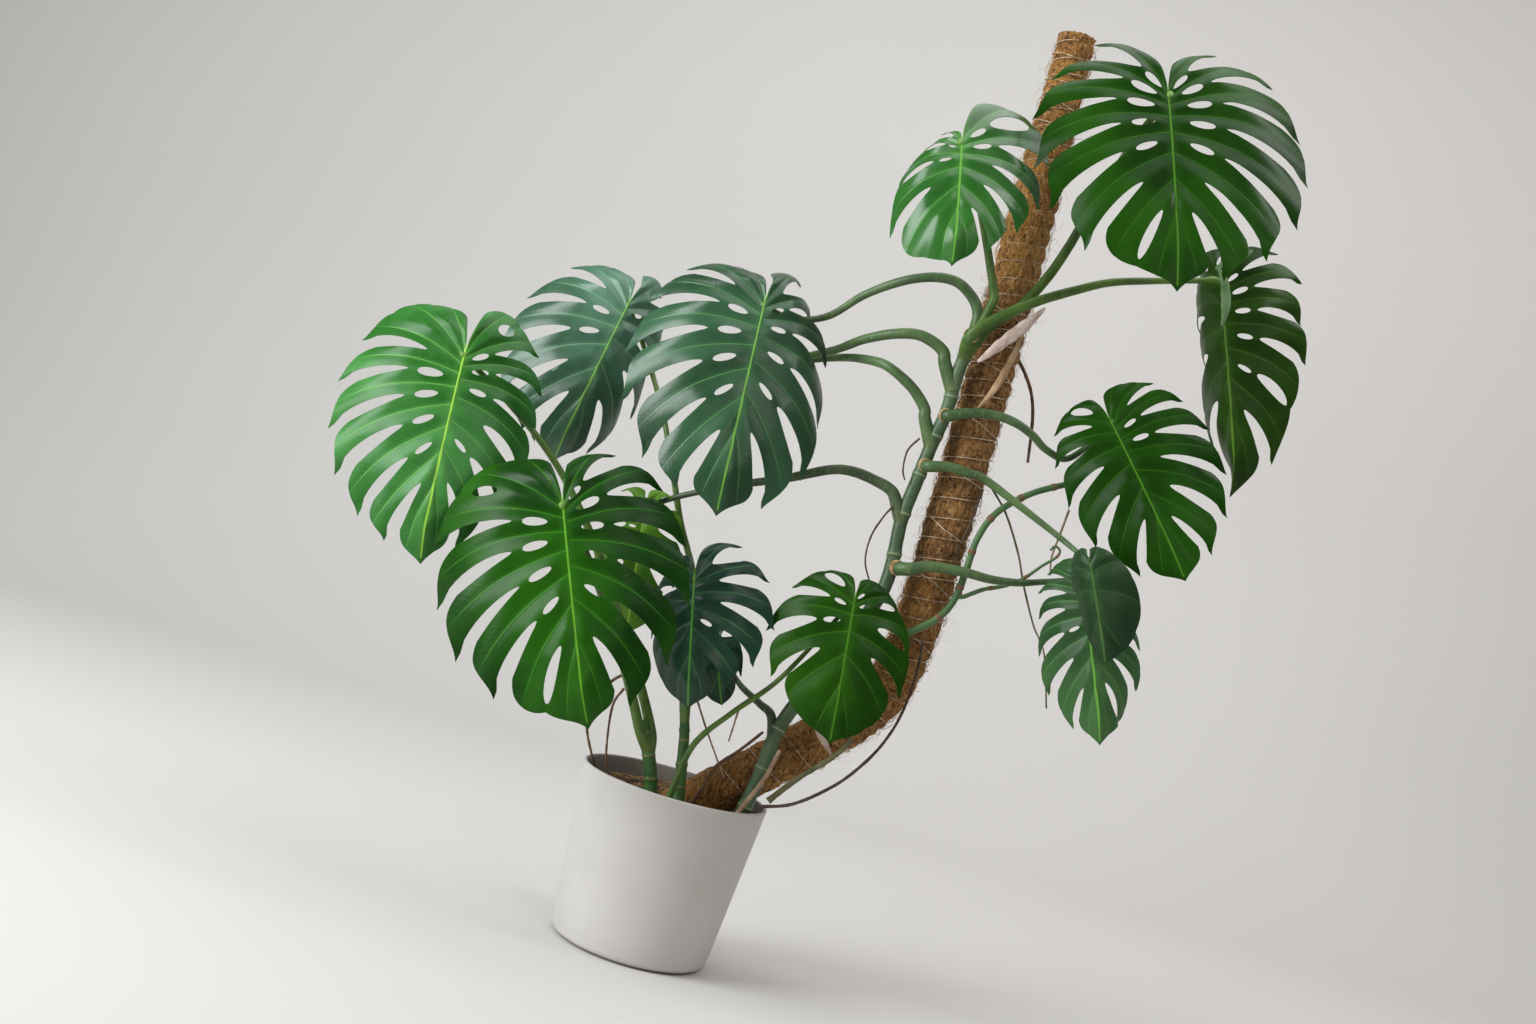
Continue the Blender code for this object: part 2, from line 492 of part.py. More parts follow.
def blade_sheet(spec):
    bm = bmesh.new()
    verts = {}
    lobes = spec["lobes"]
    length = spec["length"]
    last_row = len(BLADE_ROWS) - 1
    openings = [1 + (lobe + 1) % 2 if 0 < lobe < lobes - 2 else 1 for lobe in range(lobes - 1)]

    def vertex(side, lobe, step, row):
        share = step / LOBE_STEPS
        at_seam = step in (0, LOBE_STEPS)
        seam = lobe if step == LOBE_STEPS else lobe - 1
        if row == 0:
            key = ("rib", lobe * LOBE_STEPS + step)
        elif seam == lobes - 1 and at_seam:
            key = ("tip", row)
        elif at_seam and seam >= 0 and row <= openings[seam]:
            key = (side, "seam", seam, row)
        else:
            key = (side, lobe, step, row)
        if key in verts:
            return verts[key]
        out = BLADE_ROWS[row]
        low = slit_half_width(out, BLADE_ROWS[openings[lobe - 1]]) if lobe > 0 else 0.0
        high = slit_half_width(out, BLADE_ROWS[openings[lobe]]) if lobe < lobes - 1 else 0.0
        along = (lobe + low + (1 - low - high) * share) / lobes
        if row == last_row:
            out = 1.02 - 0.13 * (1 - share) ** 2.5
        if key[0] == "tip":
            out = BLADE_ROWS[row]
        reaches, fold = (spec["left"], spec["fold"][0]) if side > 0 else (spec["right"], spec["fold"][1])
        flat = vein_point(along, out, reaches) * length
        verts[key] = bm.verts.new(folded(side, flat, fold, length))
        return verts[key]

    for side in (1, -1):
        for lobe in range(lobes):
            for step in range(LOBE_STEPS):
                for row in range(last_row):
                    corners = [vertex(side, lobe, step, row), vertex(side, lobe, step, row + 1),
                               vertex(side, lobe, step + 1, row + 1), vertex(side, lobe, step + 1, row)]
                    bm.faces.new(corners if side > 0 else list(reversed(corners)))
    return bm


def leaf_axes(spec):
    # directions across the blade, along its midrib and out of its face
    swing = math.radians(spec["swing"])
    pitch = math.radians(spec["pitch"])
    down = Vector((math.sin(swing), 0, -math.cos(swing)))
    front = Vector((0, -1, 0))
    midrib = down * math.cos(pitch) + front * math.sin(pitch)
    face = front * math.cos(pitch) - down * math.sin(pitch)
    return midrib.cross(face), midrib, face


def make_leaf(name, spec, parent):
    leaf = place(blade_sheet(spec), name, spec["colour"], parent)
    axes = Matrix(leaf_axes(spec)).transposed().to_4x4()
    leaf.matrix_local = Matrix.Translation(spec["base"]) @ axes
    skin = leaf.modifiers.new("thickness", "SOLIDIFY")
    skin.thickness = BLADE_THICKNESS
    skin.offset = 0.0
    return leaf


def petiole_route(name):
    # the petiole ends a little behind the blade's base, unless it says where
    spec = LEAVES[name]
    _, _, face = leaf_axes(spec)
    behind = Vector(spec["base"]) - face * PETIOLE_GAP
    return [*PETIOLES[name]["route"], PETIOLES[name].get("end", behind)]


def make_tube(name, route, radii, sides, steps, look, parent, flatness=1.0):
    path = smooth_route(route, steps)
    start = path[0].copy()
    path = [point - start for point in path]
    return place(tube(path, radii, sides, flatness), name, look, parent, start)


def main():
    clear_scene()
    plant = bpy.data.objects.new("potted_monstera", None)
    bpy.context.scene.collection.objects.link(plant)

    make_pot(plant)
    make_pole(plant)
    make_twine(plant)
    cutters = [socket_cutter("pole_socket", POLE_ROUTE[:4], POLE_RADIUS, POLE_SIDES, 2, plant)]
    for name in ("stem_main", "stem_left", "stem_centre"):
        spec = STEMS[name]
        cutters.append(socket_cutter(name + "_socket", spec["route"], spec["radii"][0], spec["sides"],
                                     spec["steps"], plant))
    low = PETIOLES["leaf_06"]
    cutters.append(socket_cutter("petiole_06_socket", low["route"], low["radii"][0], 6, 2, plant))
    make_soil(plant, cutters)

    for name, spec in STEMS.items():
        make_tube(name, spec["route"], spec["radii"], spec["sides"], spec["steps"], "stem", plant)
    for name, spec in LEAVES.items():
        make_leaf(name, spec, plant)
        make_tube(name.replace("leaf", "petiole"), petiole_route(name), PETIOLES[name]["radii"], 6, 2,
                  "petiole", plant)
    for name, spec in ROOTS.items():
        make_tube(name, spec["route"], (spec["radius"], spec["radius"] * 0.8), 5, 2, "root", plant)
    for name, spec in SHEATHS.items():
        make_tube(name, spec["route"], (spec["width"], spec["width"] * 0.7), 8, 2, "sheath", plant,
                  spec["thickness"] / spec["width"])


main()
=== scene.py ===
# Potted monstera on a bent coir pole: the detailed pieces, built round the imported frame.
# Metres, +Z up, origin at the centre of the pot's underside. Left and right are as seen from -Y.
import math
import random

import bpy
import numpy as np
from mathutils import Matrix, Vector, noise
from mathutils.geometry import delaunay_2d_cdt


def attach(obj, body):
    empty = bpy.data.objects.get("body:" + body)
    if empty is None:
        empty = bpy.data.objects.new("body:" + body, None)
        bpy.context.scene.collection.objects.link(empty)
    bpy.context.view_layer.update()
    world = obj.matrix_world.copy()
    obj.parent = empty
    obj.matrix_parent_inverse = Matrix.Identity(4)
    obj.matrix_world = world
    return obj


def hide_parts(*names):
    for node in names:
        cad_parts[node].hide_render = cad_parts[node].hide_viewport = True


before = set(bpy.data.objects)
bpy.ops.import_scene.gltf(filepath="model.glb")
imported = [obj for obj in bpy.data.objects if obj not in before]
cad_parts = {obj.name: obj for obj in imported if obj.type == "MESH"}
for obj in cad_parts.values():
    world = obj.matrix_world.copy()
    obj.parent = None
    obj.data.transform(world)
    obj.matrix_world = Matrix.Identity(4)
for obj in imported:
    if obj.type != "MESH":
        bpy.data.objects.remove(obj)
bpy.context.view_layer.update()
print("frame loaded,", len(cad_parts), "nodes")


# node maths: a Val wraps an output socket, and each operator on it adds a Math node

class Val:
    def __init__(self, graph, socket):
        self.graph, self.socket = graph, socket

    def calc(self, operation, *terms):
        return self.graph.node("ShaderNodeMath", {"operation": operation}, terms)

    __add__ = lambda self, other: self.calc("ADD", self, other)
    __radd__ = lambda self, other: self.calc("ADD", other, self)
    __sub__ = lambda self, other: self.calc("SUBTRACT", self, other)
    __rsub__ = lambda self, other: self.calc("SUBTRACT", other, self)
    __mul__ = lambda self, other: self.calc("MULTIPLY", self, other)
    __rmul__ = lambda self, other: self.calc("MULTIPLY", other, self)
    __truediv__ = lambda self, other: self.calc("DIVIDE", self, other)
    sine = lambda self: self.calc("SINE", self)
    cosine = lambda self: self.calc("COSINE", self)
    size = lambda self: self.calc("ABSOLUTE", self)
    fraction = lambda self: self.calc("FRACT", self)

    def step(self, low, high, start=0.0, end=1.0):
        # a smooth step from start at low to end at high
        return self.graph.node("ShaderNodeMapRange", {"interpolation_type": "SMOOTHSTEP"},
                               [self, low, high, start, end])


class Graph:
    def __init__(self, tree):
        self.tree = tree

    def plug(self, value, socket):
        if isinstance(value, Val):
            self.tree.links.new(value.socket, socket)
        elif isinstance(value, tuple) and socket.type == "RGBA":
            socket.default_value = (*value, 1.0)[:4]
        else:
            socket.default_value = value

    def node(self, kind, settings=None, sockets=(), output=0):
        # settings first, then the sockets by place or by name; a value or a link each
        made = self.tree.nodes.new(kind)
        for key, value in (settings or {}).items():
            setattr(made, key, value)
        pairs = sockets.items() if isinstance(sockets, dict) else enumerate(sockets)
        for key, value in pairs:
            if value is not None:
                self.plug(value, made.inputs[key])
        return Val(self, made.outputs[output]) if made.outputs else made

    def vector(self, operation, *terms):
        output = 1 if operation in ("LENGTH", "DOT_PRODUCT", "DISTANCE") else 0
        return self.node("ShaderNodeVectorMath", {"operation": operation}, terms, output)

    def scaled(self, vector, factor):
        return self.node("ShaderNodeVectorMath", {"operation": "SCALE"}, {"Vector": vector, "Scale": factor})

    def combine(self, x, y, z):
        return self.node("ShaderNodeCombineXYZ", {}, [x, y, z])

    def parts(self, vector):
        first = self.node("ShaderNodeSeparateXYZ", {}, [vector])
        return [Val(self, out) for out in first.socket.node.outputs]


class Finish(Graph):
    # one material; words given here are constants on the shader's own sockets
    def __init__(self, name, **constants):
        self.material = bpy.data.materials.new(name)
        self.material.use_nodes = True
        super().__init__(self.material.node_tree)
        self.shader = self.tree.nodes["Principled BSDF"]
        self.place = self.node("ShaderNodeTexCoord", {}, [], 3)
        for key, value in constants.items():
            self.plug(value, self.shader.inputs[key.replace("_", " ")])

    def mix(self, factor, first, second):
        return self.node("ShaderNodeMix", {"data_type": "RGBA"}, {0: factor, 6: first, 7: second}, 2)

    def noise(self, scale, detail=3.0, vector=None, rough=0.55):
        return self.node("ShaderNodeTexNoise", {}, {"Vector": vector or self.place, "Scale": scale,
                                                    "Detail": detail, "Roughness": rough})

    def stretched(self, x, y, z):
        # the place, squeezed or drawn out along each axis
        return self.node("ShaderNodeMapping", {}, {"Vector": self.place, "Scale": (x, y, z)})

    def attribute(self, name):
        return self.node("ShaderNodeAttribute", {"attribute_name": name}, [], 2)

    def surface(self, colour, roughness, height=None, depth=0.001, strength=1.0):
        self.plug(colour, self.shader.inputs["Base Color"])
        self.plug(roughness, self.shader.inputs["Roughness"])
        if height is not None:
            bump = self.node("ShaderNodeBump", {}, {"Strength": strength, "Distance": depth,
                                                    "Height": height})
            self.plug(bump, self.shader.inputs["Normal"])
        return self.material


class Grower(Graph):
    # a geometry tree with named inputs
    def __init__(self, name):
        group = bpy.data.node_groups.new(name, "GeometryNodeTree")
        super().__init__(group)
        group.interface.new_socket("Geometry", in_out="INPUT", socket_type="NodeSocketGeometry")
        group.interface.new_socket("Geometry", in_out="OUTPUT", socket_type="NodeSocketGeometry")
        self.entry = group.nodes.new("NodeGroupInput")
        self.exit = group.nodes.new("NodeGroupOutput")
        self.base = Val(self, self.entry.outputs[0])

    def inputs(self, **defaults):
        # named inputs in this order; a whole number, a number, or None for a material
        for name, default in defaults.items():
            kind = {int: "Int", float: "Float"}.get(type(default), "Material")
            socket = self.tree.interface.new_socket(name.replace("_", " "), in_out="INPUT",
                                                    socket_type="NodeSocket" + kind)
            if default is not None:
                socket.default_value = default
        return [Val(self, self.entry.outputs[name.replace("_", " ")]) for name in defaults]

    def randomValue(self, low, high, seed):
        # a number or a vector for each point
        isVector = isinstance(low, tuple)
        kind = "FLOAT_VECTOR" if isVector else "FLOAT"
        made = self.node("FunctionNodeRandomValue", {"data_type": kind}, {}, 0 if isVector else 1)
        sockets = made.socket.node.inputs
        sockets[0 if isVector else 2].default_value = low
        sockets[1 if isVector else 3].default_value = high
        self.plug(seed, sockets["Seed"])
        return made

    def scattered(self, density, seed):
        return self.node("GeometryNodeDistributePointsOnFaces", {},
                         {"Mesh": self.base, "Density": density, "Seed": seed})

    def skin(self, curve, sides, thickness):
        # a tube of that many sides along a curve
        profile = self.node("GeometryNodeCurvePrimitiveCircle", {}, {"Resolution": sides, "Radius": 1.0})
        return self.node("GeometryNodeCurveToMesh", {}, {"Curve": curve, "Profile Curve": profile,
                                                         "Scale": thickness, "Fill Caps": True})

    def close(self, geometry, finish):
        real = self.node("GeometryNodeRealizeInstances", {}, [geometry])
        painted = self.node("GeometryNodeSetMaterial", {}, {"Geometry": real, "Material": finish})
        self.tree.links.new(painted.socket, self.exit.inputs[0])

    def grow(self, name, base, **values):
        # runs the tree on the base and keeps the result as a plain mesh
        modifier = base.modifiers.new("grow", "NODES")
        modifier.node_group = self.tree
        for item in self.tree.interface.items_tree:
            if item.in_out == "INPUT" and item.name.replace(" ", "_") in values:
                modifier[item.identifier] = values[item.name.replace(" ", "_")]
        bpy.context.view_layer.update()
        graph = bpy.context.evaluated_depsgraph_get()
        mesh = bpy.data.meshes.new_from_object(base.evaluated_get(graph), preserve_all_data_layers=True,
                                               depsgraph=graph)
        bpy.data.objects.remove(base, do_unlink=True)
        mesh.name = name
        mesh.shade_smooth()
        return linked(name, mesh)


def linked(name, data):
    obj = bpy.data.objects.new(name, data)
    bpy.context.scene.collection.objects.link(obj)
    return obj


def settle(obj, slot, *nodes):
    # the last calls on every piece: it rides with the plant and stands for its nodes
    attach(obj, "root")
    if nodes:
        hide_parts(*nodes)
    return obj


def meshOf(name, points, faces, material, angle=50):
    mesh = bpy.data.meshes.new(name)
    mesh.from_pydata([tuple(p) for p in points], [], [tuple(f) for f in faces])
    mesh.validate()
    mesh.materials.append(material)
    mesh.shade_smooth()
    mesh.set_sharp_from_angle(angle=math.radians(angle))
    return linked(name, mesh)


def pointValues(obj, name, values):
    layer = obj.data.attributes.new(name, "FLOAT", "POINT")
    layer.data.foreach_set("value", np.asarray(values, np.float32))


def turnAngles(count):
    return [math.tau * i / count for i in range(count)]


def ringFaces(rings, sides, start=0, inward=False):
    # the quads between each ring of points and the next
    faces = []
    for k in range(rings - 1):
        for i in range(sides):
            a, b = start + k * sides + i, start + k * sides + (i + 1) % sides
            faces.append((a, a + sides, b + sides, b) if inward else (a, b, b + sides, a + sides))
    return faces


def mm(*points):
    # places given in millimetres
    return [tuple(c / 1000 for c in point) for point in points]


def smoothRoute(points, steps):
    # Catmull-Rom curve through the points
    knots = [Vector(p) for p in points]
    knots = [knots[0] * 2 - knots[1]] + knots + [knots[-1] * 2 - knots[-2]]
    path = []
    for a, b, c, d in zip(knots, knots[1:], knots[2:], knots[3:]):
        for i in range(steps):
            t = i / steps
            path.append(0.5 * (2 * b + (c - a) * t + (2 * a - 5 * b + 4 * c - d) * t * t
                               + (3 * b - a - 3 * c + d) * t * t * t))
    path.append(knots[-2])
    return path


def evenRoute(points, spacing):
    # the same curve with its points about one spacing apart
    fine = smoothRoute(points, 24)
    lengths = np.concatenate([[0], np.cumsum([(b - a).length for a, b in zip(fine, fine[1:])])])
    count = max(4, int(lengths[-1] / spacing) + 1)
    wanted = np.linspace(0, lengths[-1], count)
    coords = np.array([p[:] for p in fine])
    columns = [np.interp(wanted, lengths, coords[:, k]) for k in range(3)]
    return [Vector(p) for p in zip(*columns)], lengths[-1]


def routeFrames(path):
    frames = []
    for i, point in enumerate(path):
        tangent = (path[min(i + 1, len(path) - 1)] - path[max(i - 1, 0)]).normalized()
        normal = (Vector((0, 1, 0)) - tangent * tangent.y).normalized()
        frames.append((point, tangent, normal, tangent.cross(normal)))
    return frames


pathStep = 0.004  # between the points of a stem's path
slant = 0.030  # how far back inside its stem a petiole starts


def rooted(route, path, back):
    # the route with a start inside the stem, that far back along it, so that it leaves at a slant
    first = Vector(route[0])
    closest = min(range(len(path)), key=lambda k: (path[k] - first).length)
    return [path[max(0, closest - round(back / pathStep))], *route]


def guideCurve(name, path, radii):
    curve = bpy.data.curves.new(name, "CURVE")
    curve.dimensions = "3D"
    spline = curve.splines.new("POLY")
    spline.points.add(len(path) - 1)
    for spot, point, radius in zip(spline.points, path, radii):
        spot.co = (*point, 1)
        spot.radius = radius
    return linked(name, curve)


def makeStalkGrower():
    # a skin along a curve: knuckles at a spacing, ruffled by noise
    g = Grower("stalkSkin")
    sides, spacing, rise, ruffle, ruffleScale, finish = g.inputs(
        Sides=12, Knuckle_Spacing=0.05, Knuckle_Rise=0.0, Ruffle=0.0004, Ruffle_Scale=60.0, Finish=None)
    length = g.node("GeometryNodeSplineParameter", {}, [], 1)
    marked = g.node("GeometryNodeStoreNamedAttribute", {"data_type": "FLOAT", "domain": "POINT"},
                    {"Geometry": g.base, "Name": "alongPath", "Value": length})
    ripple = (length / spacing * math.tau).cosine().step(0.86, 1.0)
    radius = g.node("GeometryNodeInputRadius", {}, [])
    skin = g.skin(marked, sides, radius * (1 + rise * ripple))
    lump = g.node("ShaderNodeTexNoise", {}, {"Vector": g.node("GeometryNodeInputPosition"),
                                             "Scale": ruffleScale, "Detail": 2.0})
    out = g.scaled(g.node("GeometryNodeInputNormal"), (lump - 0.5) * ruffle * 2)
    g.close(g.node("GeometryNodeSetPosition", {}, {"Geometry": skin, "Offset": out}), finish)
    return g


def makeTwineGrower():
    # turns of twine round the base curve, between two lengths along it
    g = Grower("twineTurns")
    start, end, pitch, reach, taper, thickness, wander, seed, finish = g.inputs(
        Start=0.0, End=1.0, Pitch=0.03, Reach=0.037, Reach_At_End=0.037, Thickness=0.0009, Wander=0.004,
        Seed=1.0, Finish=None)
    turnSteps, strandSides = 26, 5
    count = (end - start) / pitch.size() * turnSteps
    line = g.node("GeometryNodeMeshLine", {}, {"Count": count, "Offset": (0.0, 0.0, 0.001)})
    thread = g.node("GeometryNodeMeshToCurve", {}, [line])
    index = g.node("GeometryNodeInputIndex")
    travelled = index / turnSteps * pitch.size()
    sway = g.node("ShaderNodeTexNoise", {"noise_dimensions": "1D"},
                  {"W": travelled * 37 + seed, "Scale": 1.0, "Detail": 1.0})
    length = start + travelled + (sway - 0.5) * wander * 2
    sampled = g.node("GeometryNodeSampleCurve", {"mode": "LENGTH"}, {"Curves": g.base, "Length": length}, 1)
    outs = sampled.socket.node.outputs
    tangent = Val(g, outs["Tangent"])
    level = g.scaled(tangent, g.vector("DOT_PRODUCT", tangent, (0.0, 1.0, 0.0)))
    normal = g.vector("NORMALIZE", g.vector("SUBTRACT", (0.0, 1.0, 0.0), level))
    cross = g.vector("CROSS_PRODUCT", tangent, normal)
    angle = index * (math.tau / turnSteps) * (pitch / pitch.size())
    out = reach + (taper - reach) * (travelled / (end - start))
    ring = g.vector("ADD", g.scaled(normal, angle.cosine() * out), g.scaled(cross, angle.sine() * out))
    place = g.vector("ADD", Val(g, outs["Position"]), ring)
    laid = g.node("GeometryNodeSetPosition", {}, {"Geometry": thread, "Position": place})
    g.close(g.skin(laid, strandSides, thickness), finish)
    return g


def makeFibreGrower():
    # short bowed fibres scattered over the base's faces
    g = Grower("fibreScatter")
    density, seed, length, bow, tilt, thickness, finish = g.inputs(
        Density=10000.0, Seed=1, Length=0.03, Bow=0.003, Tilt=0.1, Thickness=0.0002, Finish=None)
    points = g.scattered(density, seed)
    facing = Val(g, points.socket.node.outputs["Rotation"])
    hair = g.node("GeometryNodeCurveQuadraticBezier", {}, {
        "Resolution": 4, "Start": (0.0, 0.0, 0.0), "Middle": g.combine(length * 0.5, 0.0, bow * 2),
        "End": g.combine(length, bow, 0.0)})
    body = g.skin(hair, 3, thickness)
    spin = g.combine(0.0, g.randomValue(-1.0, 1.0, seed + 3) * tilt - tilt * 0.6,
                     g.randomValue(0.0, math.tau, seed + 7))
    turn = g.node("FunctionNodeEulerToRotation", {}, [spin])
    both = g.node("FunctionNodeRotateRotation", {"rotation_space": "LOCAL"}, [facing, turn])
    g.close(g.node("GeometryNodeInstanceOnPoints", {}, {
        "Points": points, "Instance": body, "Rotation": both,
        "Scale": g.randomValue(0.4, 1.3, seed + 11)}), finish)
    return g


def makeChipGrower():
    # bark chips and crumbs lying on the base
    g = Grower("chipScatter")
    density, seed, size, flat, finish = g.inputs(
        Density=2000.0, Seed=1, Size=0.004, Flatness=0.45, Finish=None)
    points = g.scattered(density, seed)
    chip = g.node("GeometryNodeMeshIcoSphere", {}, {"Radius": 1.0, "Subdivisions": 1})
    turn = g.node("FunctionNodeEulerToRotation", {},
                  [g.randomValue((-0.4, -0.4, 0.0), (0.4, 0.4, math.tau), seed + 2)])
    uneven = g.randomValue((0.5, 0.3, 0.5), (1.6, 1.0, 1.2), seed + 5)
    shape = g.vector("MULTIPLY", uneven, g.combine(size, size, size * flat))
    g.close(g.node("GeometryNodeInstanceOnPoints", {}, {
        "Points": points, "Instance": chip, "Rotation": turn, "Scale": shape}), finish)
    return g


stalkGrower = makeStalkGrower()
twineGrower = makeTwineGrower()
fibreGrower = makeFibreGrower()
chipGrower = makeChipGrower()
print("growers ready")


# lengths in metres; out and share numbers run from 0 at the midrib to 1 at the margin
blade = dict(thickness=0.0009, slitWidth=0.12, sinusAngle=166, reachStep=30, columns=10, rows=40,
             rowStretch=3.2, groove=0.0009, grooveReach=0.0018, puff=0.0042, ridge=0.0007, margin=1.02,
             corner=0.85,
             slitStart=0.44, holeStart=0.12, holeRatio=0.36, shutEnd=0.91, shortWindow=(0.62, 0.86),
             seamBlend=0.24, pointGap=0.032)
midrib = dict(steps=60, sides=10, alongRib=1.4, tipReach=0.88, radiusShare=0.0062, finest=0.0002, sunk=0.45)

# base is where the petiole meets the blade; swing turns the tip towards +X and pitch brings it towards -Y;
# fold lays each half back; left and right are how far the margin reaches, tip to basal lobe, as shares of
# the length. The seams between lobes are told from the basal lobe on, left half then right half:
# s an open slit, c one shut at the margin, w a short window, - no slit; o in holes is a window by the midrib
leafShapes = {
    "01": dict(base=(-0.463, -0.120, 0.775), swing=6, pitch=18, fold=(5, 30), length=0.298,
        left=(0.84, 0.67, 0.52, 0.44, 0.30), right=(0.72, 0.54, 0.42, 0.37, 0.34),
        slits=("--ssssss", "wssscss"), holes=("...oooo.", ".ooo.o."), droop=0.05, look="spring"),
    "02": dict(base=(-0.279, 0.065, 0.929), swing=-8, pitch=18, fold=(10, 42), length=0.261,
        left=(0.88, 0.70, 0.50, 0.34, 0.22), right=(0.75, 0.40, 0.34, 0.32, 0.32),
        slits=("-sssss", "s-css"), holes=("..oo..", ".o..."), droop=0.06, look="frost"),
    "03": dict(base=(-0.074, -0.080, 0.972), swing=4, pitch=20, fold=(5, 30), length=0.316,
        left=(0.84, 0.66, 0.50, 0.36, 0.22), right=(0.80, 0.54, 0.36, 0.30, 0.28),
        slits=("-ssssss", "ssssss"), holes=("..oooo.", ".oooo."), droop=0.07, look="steel"),
    "04": dict(base=(-0.255, -0.220, 0.611), swing=24, pitch=20, fold=(5, 20), length=0.298,
        left=(0.88, 0.73, 0.60, 0.49, 0.33), right=(0.84, 0.66, 0.55, 0.45, 0.33),
        slits=("-wssssc", "ssssss"), holes=("..oooo.", "ooooo."), droop=0.06, look="emerald"),
    "05": dict(base=(-0.057, -0.110, 0.560), swing=14, pitch=20, fold=(30, 5), length=0.180,
        left=(0.74, 0.50, 0.38, 0.32, 0.26), right=(0.82, 0.72, 0.59, 0.51, 0.40), slits=("sss-", "sssss"),
        holes=("....", "...o."), droop=0.06, look="ink"),
    "06": dict(base=(0.172, -0.105, 0.598), swing=6, pitch=18, fold=(10, 20), length=0.206,
        left=(0.80, 0.65, 0.45, 0.33, 0.22), right=(0.79, 0.57, 0.36, 0.26, 0.20), slits=("csss-", "-ccs-"),
        holes=(".oo..", "oo..."), droop=0.03, look="moss"),
    "07": dict(base=(-0.162, 0.000, 0.637), swing=8, pitch=2, fold=(10, 10), length=0.190,
        left=(0.64, 0.38, 0.28, 0.22, 0.18), right=(0.64, 0.38, 0.28, 0.22, 0.18), slits=("sss", "sss"),
        holes=(".o.", "..."), droop=0.04, look="young"),
    "08": dict(base=(-0.005, 0.010, 0.478), swing=22, pitch=5, fold=(10, 10), length=0.100,
        left=(0.66, 0.44, 0.32, 0.26, 0.22), right=(0.66, 0.44, 0.32, 0.26, 0.22), slits=("-s-", "s-s"),
        holes=("...", "..."), droop=0.03, look="ink"),
    "09": dict(base=(0.392, -0.150, 1.408), swing=14, pitch=28, fold=(5, 5), length=0.305,
        left=(0.84, 0.67, 0.57, 0.50, 0.42), right=(0.88, 0.73, 0.63, 0.51, 0.32),
        slits=("ssssssc", "sssssss"), holes=("ooooo..", "ooooo.."), droop=0.04, look="forest"),
    "10": dict(base=(0.131, -0.160, 1.259), swing=10, pitch=30, fold=(25, 10), length=0.187,
        left=(0.92, 0.60, 0.34, 0.24, 0.20), right=(0.80, 0.72, 0.68, 0.74, 0.62), slits=("sccs-", "cssss"),
        holes=(".oo..", "oo..."), droop=0.07, look="glossy"),
    "11": dict(base=(0.561, -0.030, 1.204), swing=20, pitch=8, fold=(76, 5), length=0.316,
        left=(0.60, 0.40, 0.32, 0.26, 0.20), right=(0.66, 0.46, 0.37, 0.27, 0.18),
        slits=("s-sss", "wsssscs"), holes=(".....", ".ooooo."), droop=0.05, look="olive"),
    "12": dict(base=(0.461, -0.050, 0.955), swing=39, pitch=20, fold=(15, 5), length=0.256,
        left=(0.72, 0.47, 0.35, 0.29, 0.22), right=(0.80, 0.56, 0.41, 0.30, 0.22),
        slits=("csssss", "-ssssss"), holes=("......", "..oo..."), droop=0.03, look="forest"),
    "13": dict(base=(0.486, -0.070, 0.715), swing=22, pitch=12, fold=(35, 30), length=0.233,
        left=(0.69, 0.40, 0.28, 0.24, 0.20), right=(0.72, 0.44, 0.28, 0.24, 0.20),
        slits=("-ssssss", "ssssssc"), holes=("....o..", "..oo.o."), droop=0.05, look="sage"),
    "14": dict(base=(0.476, -0.135, 0.744), swing=26, pitch=2, fold=(60, 5), length=0.147,
        left=(0.50, 0.36, 0.28, 0.22, 0.18), right=(0.77, 0.46, 0.28, 0.20, 0.17), slits=("---", "---"),
        holes=("...", "..."), droop=0.04, look="shade"),
}

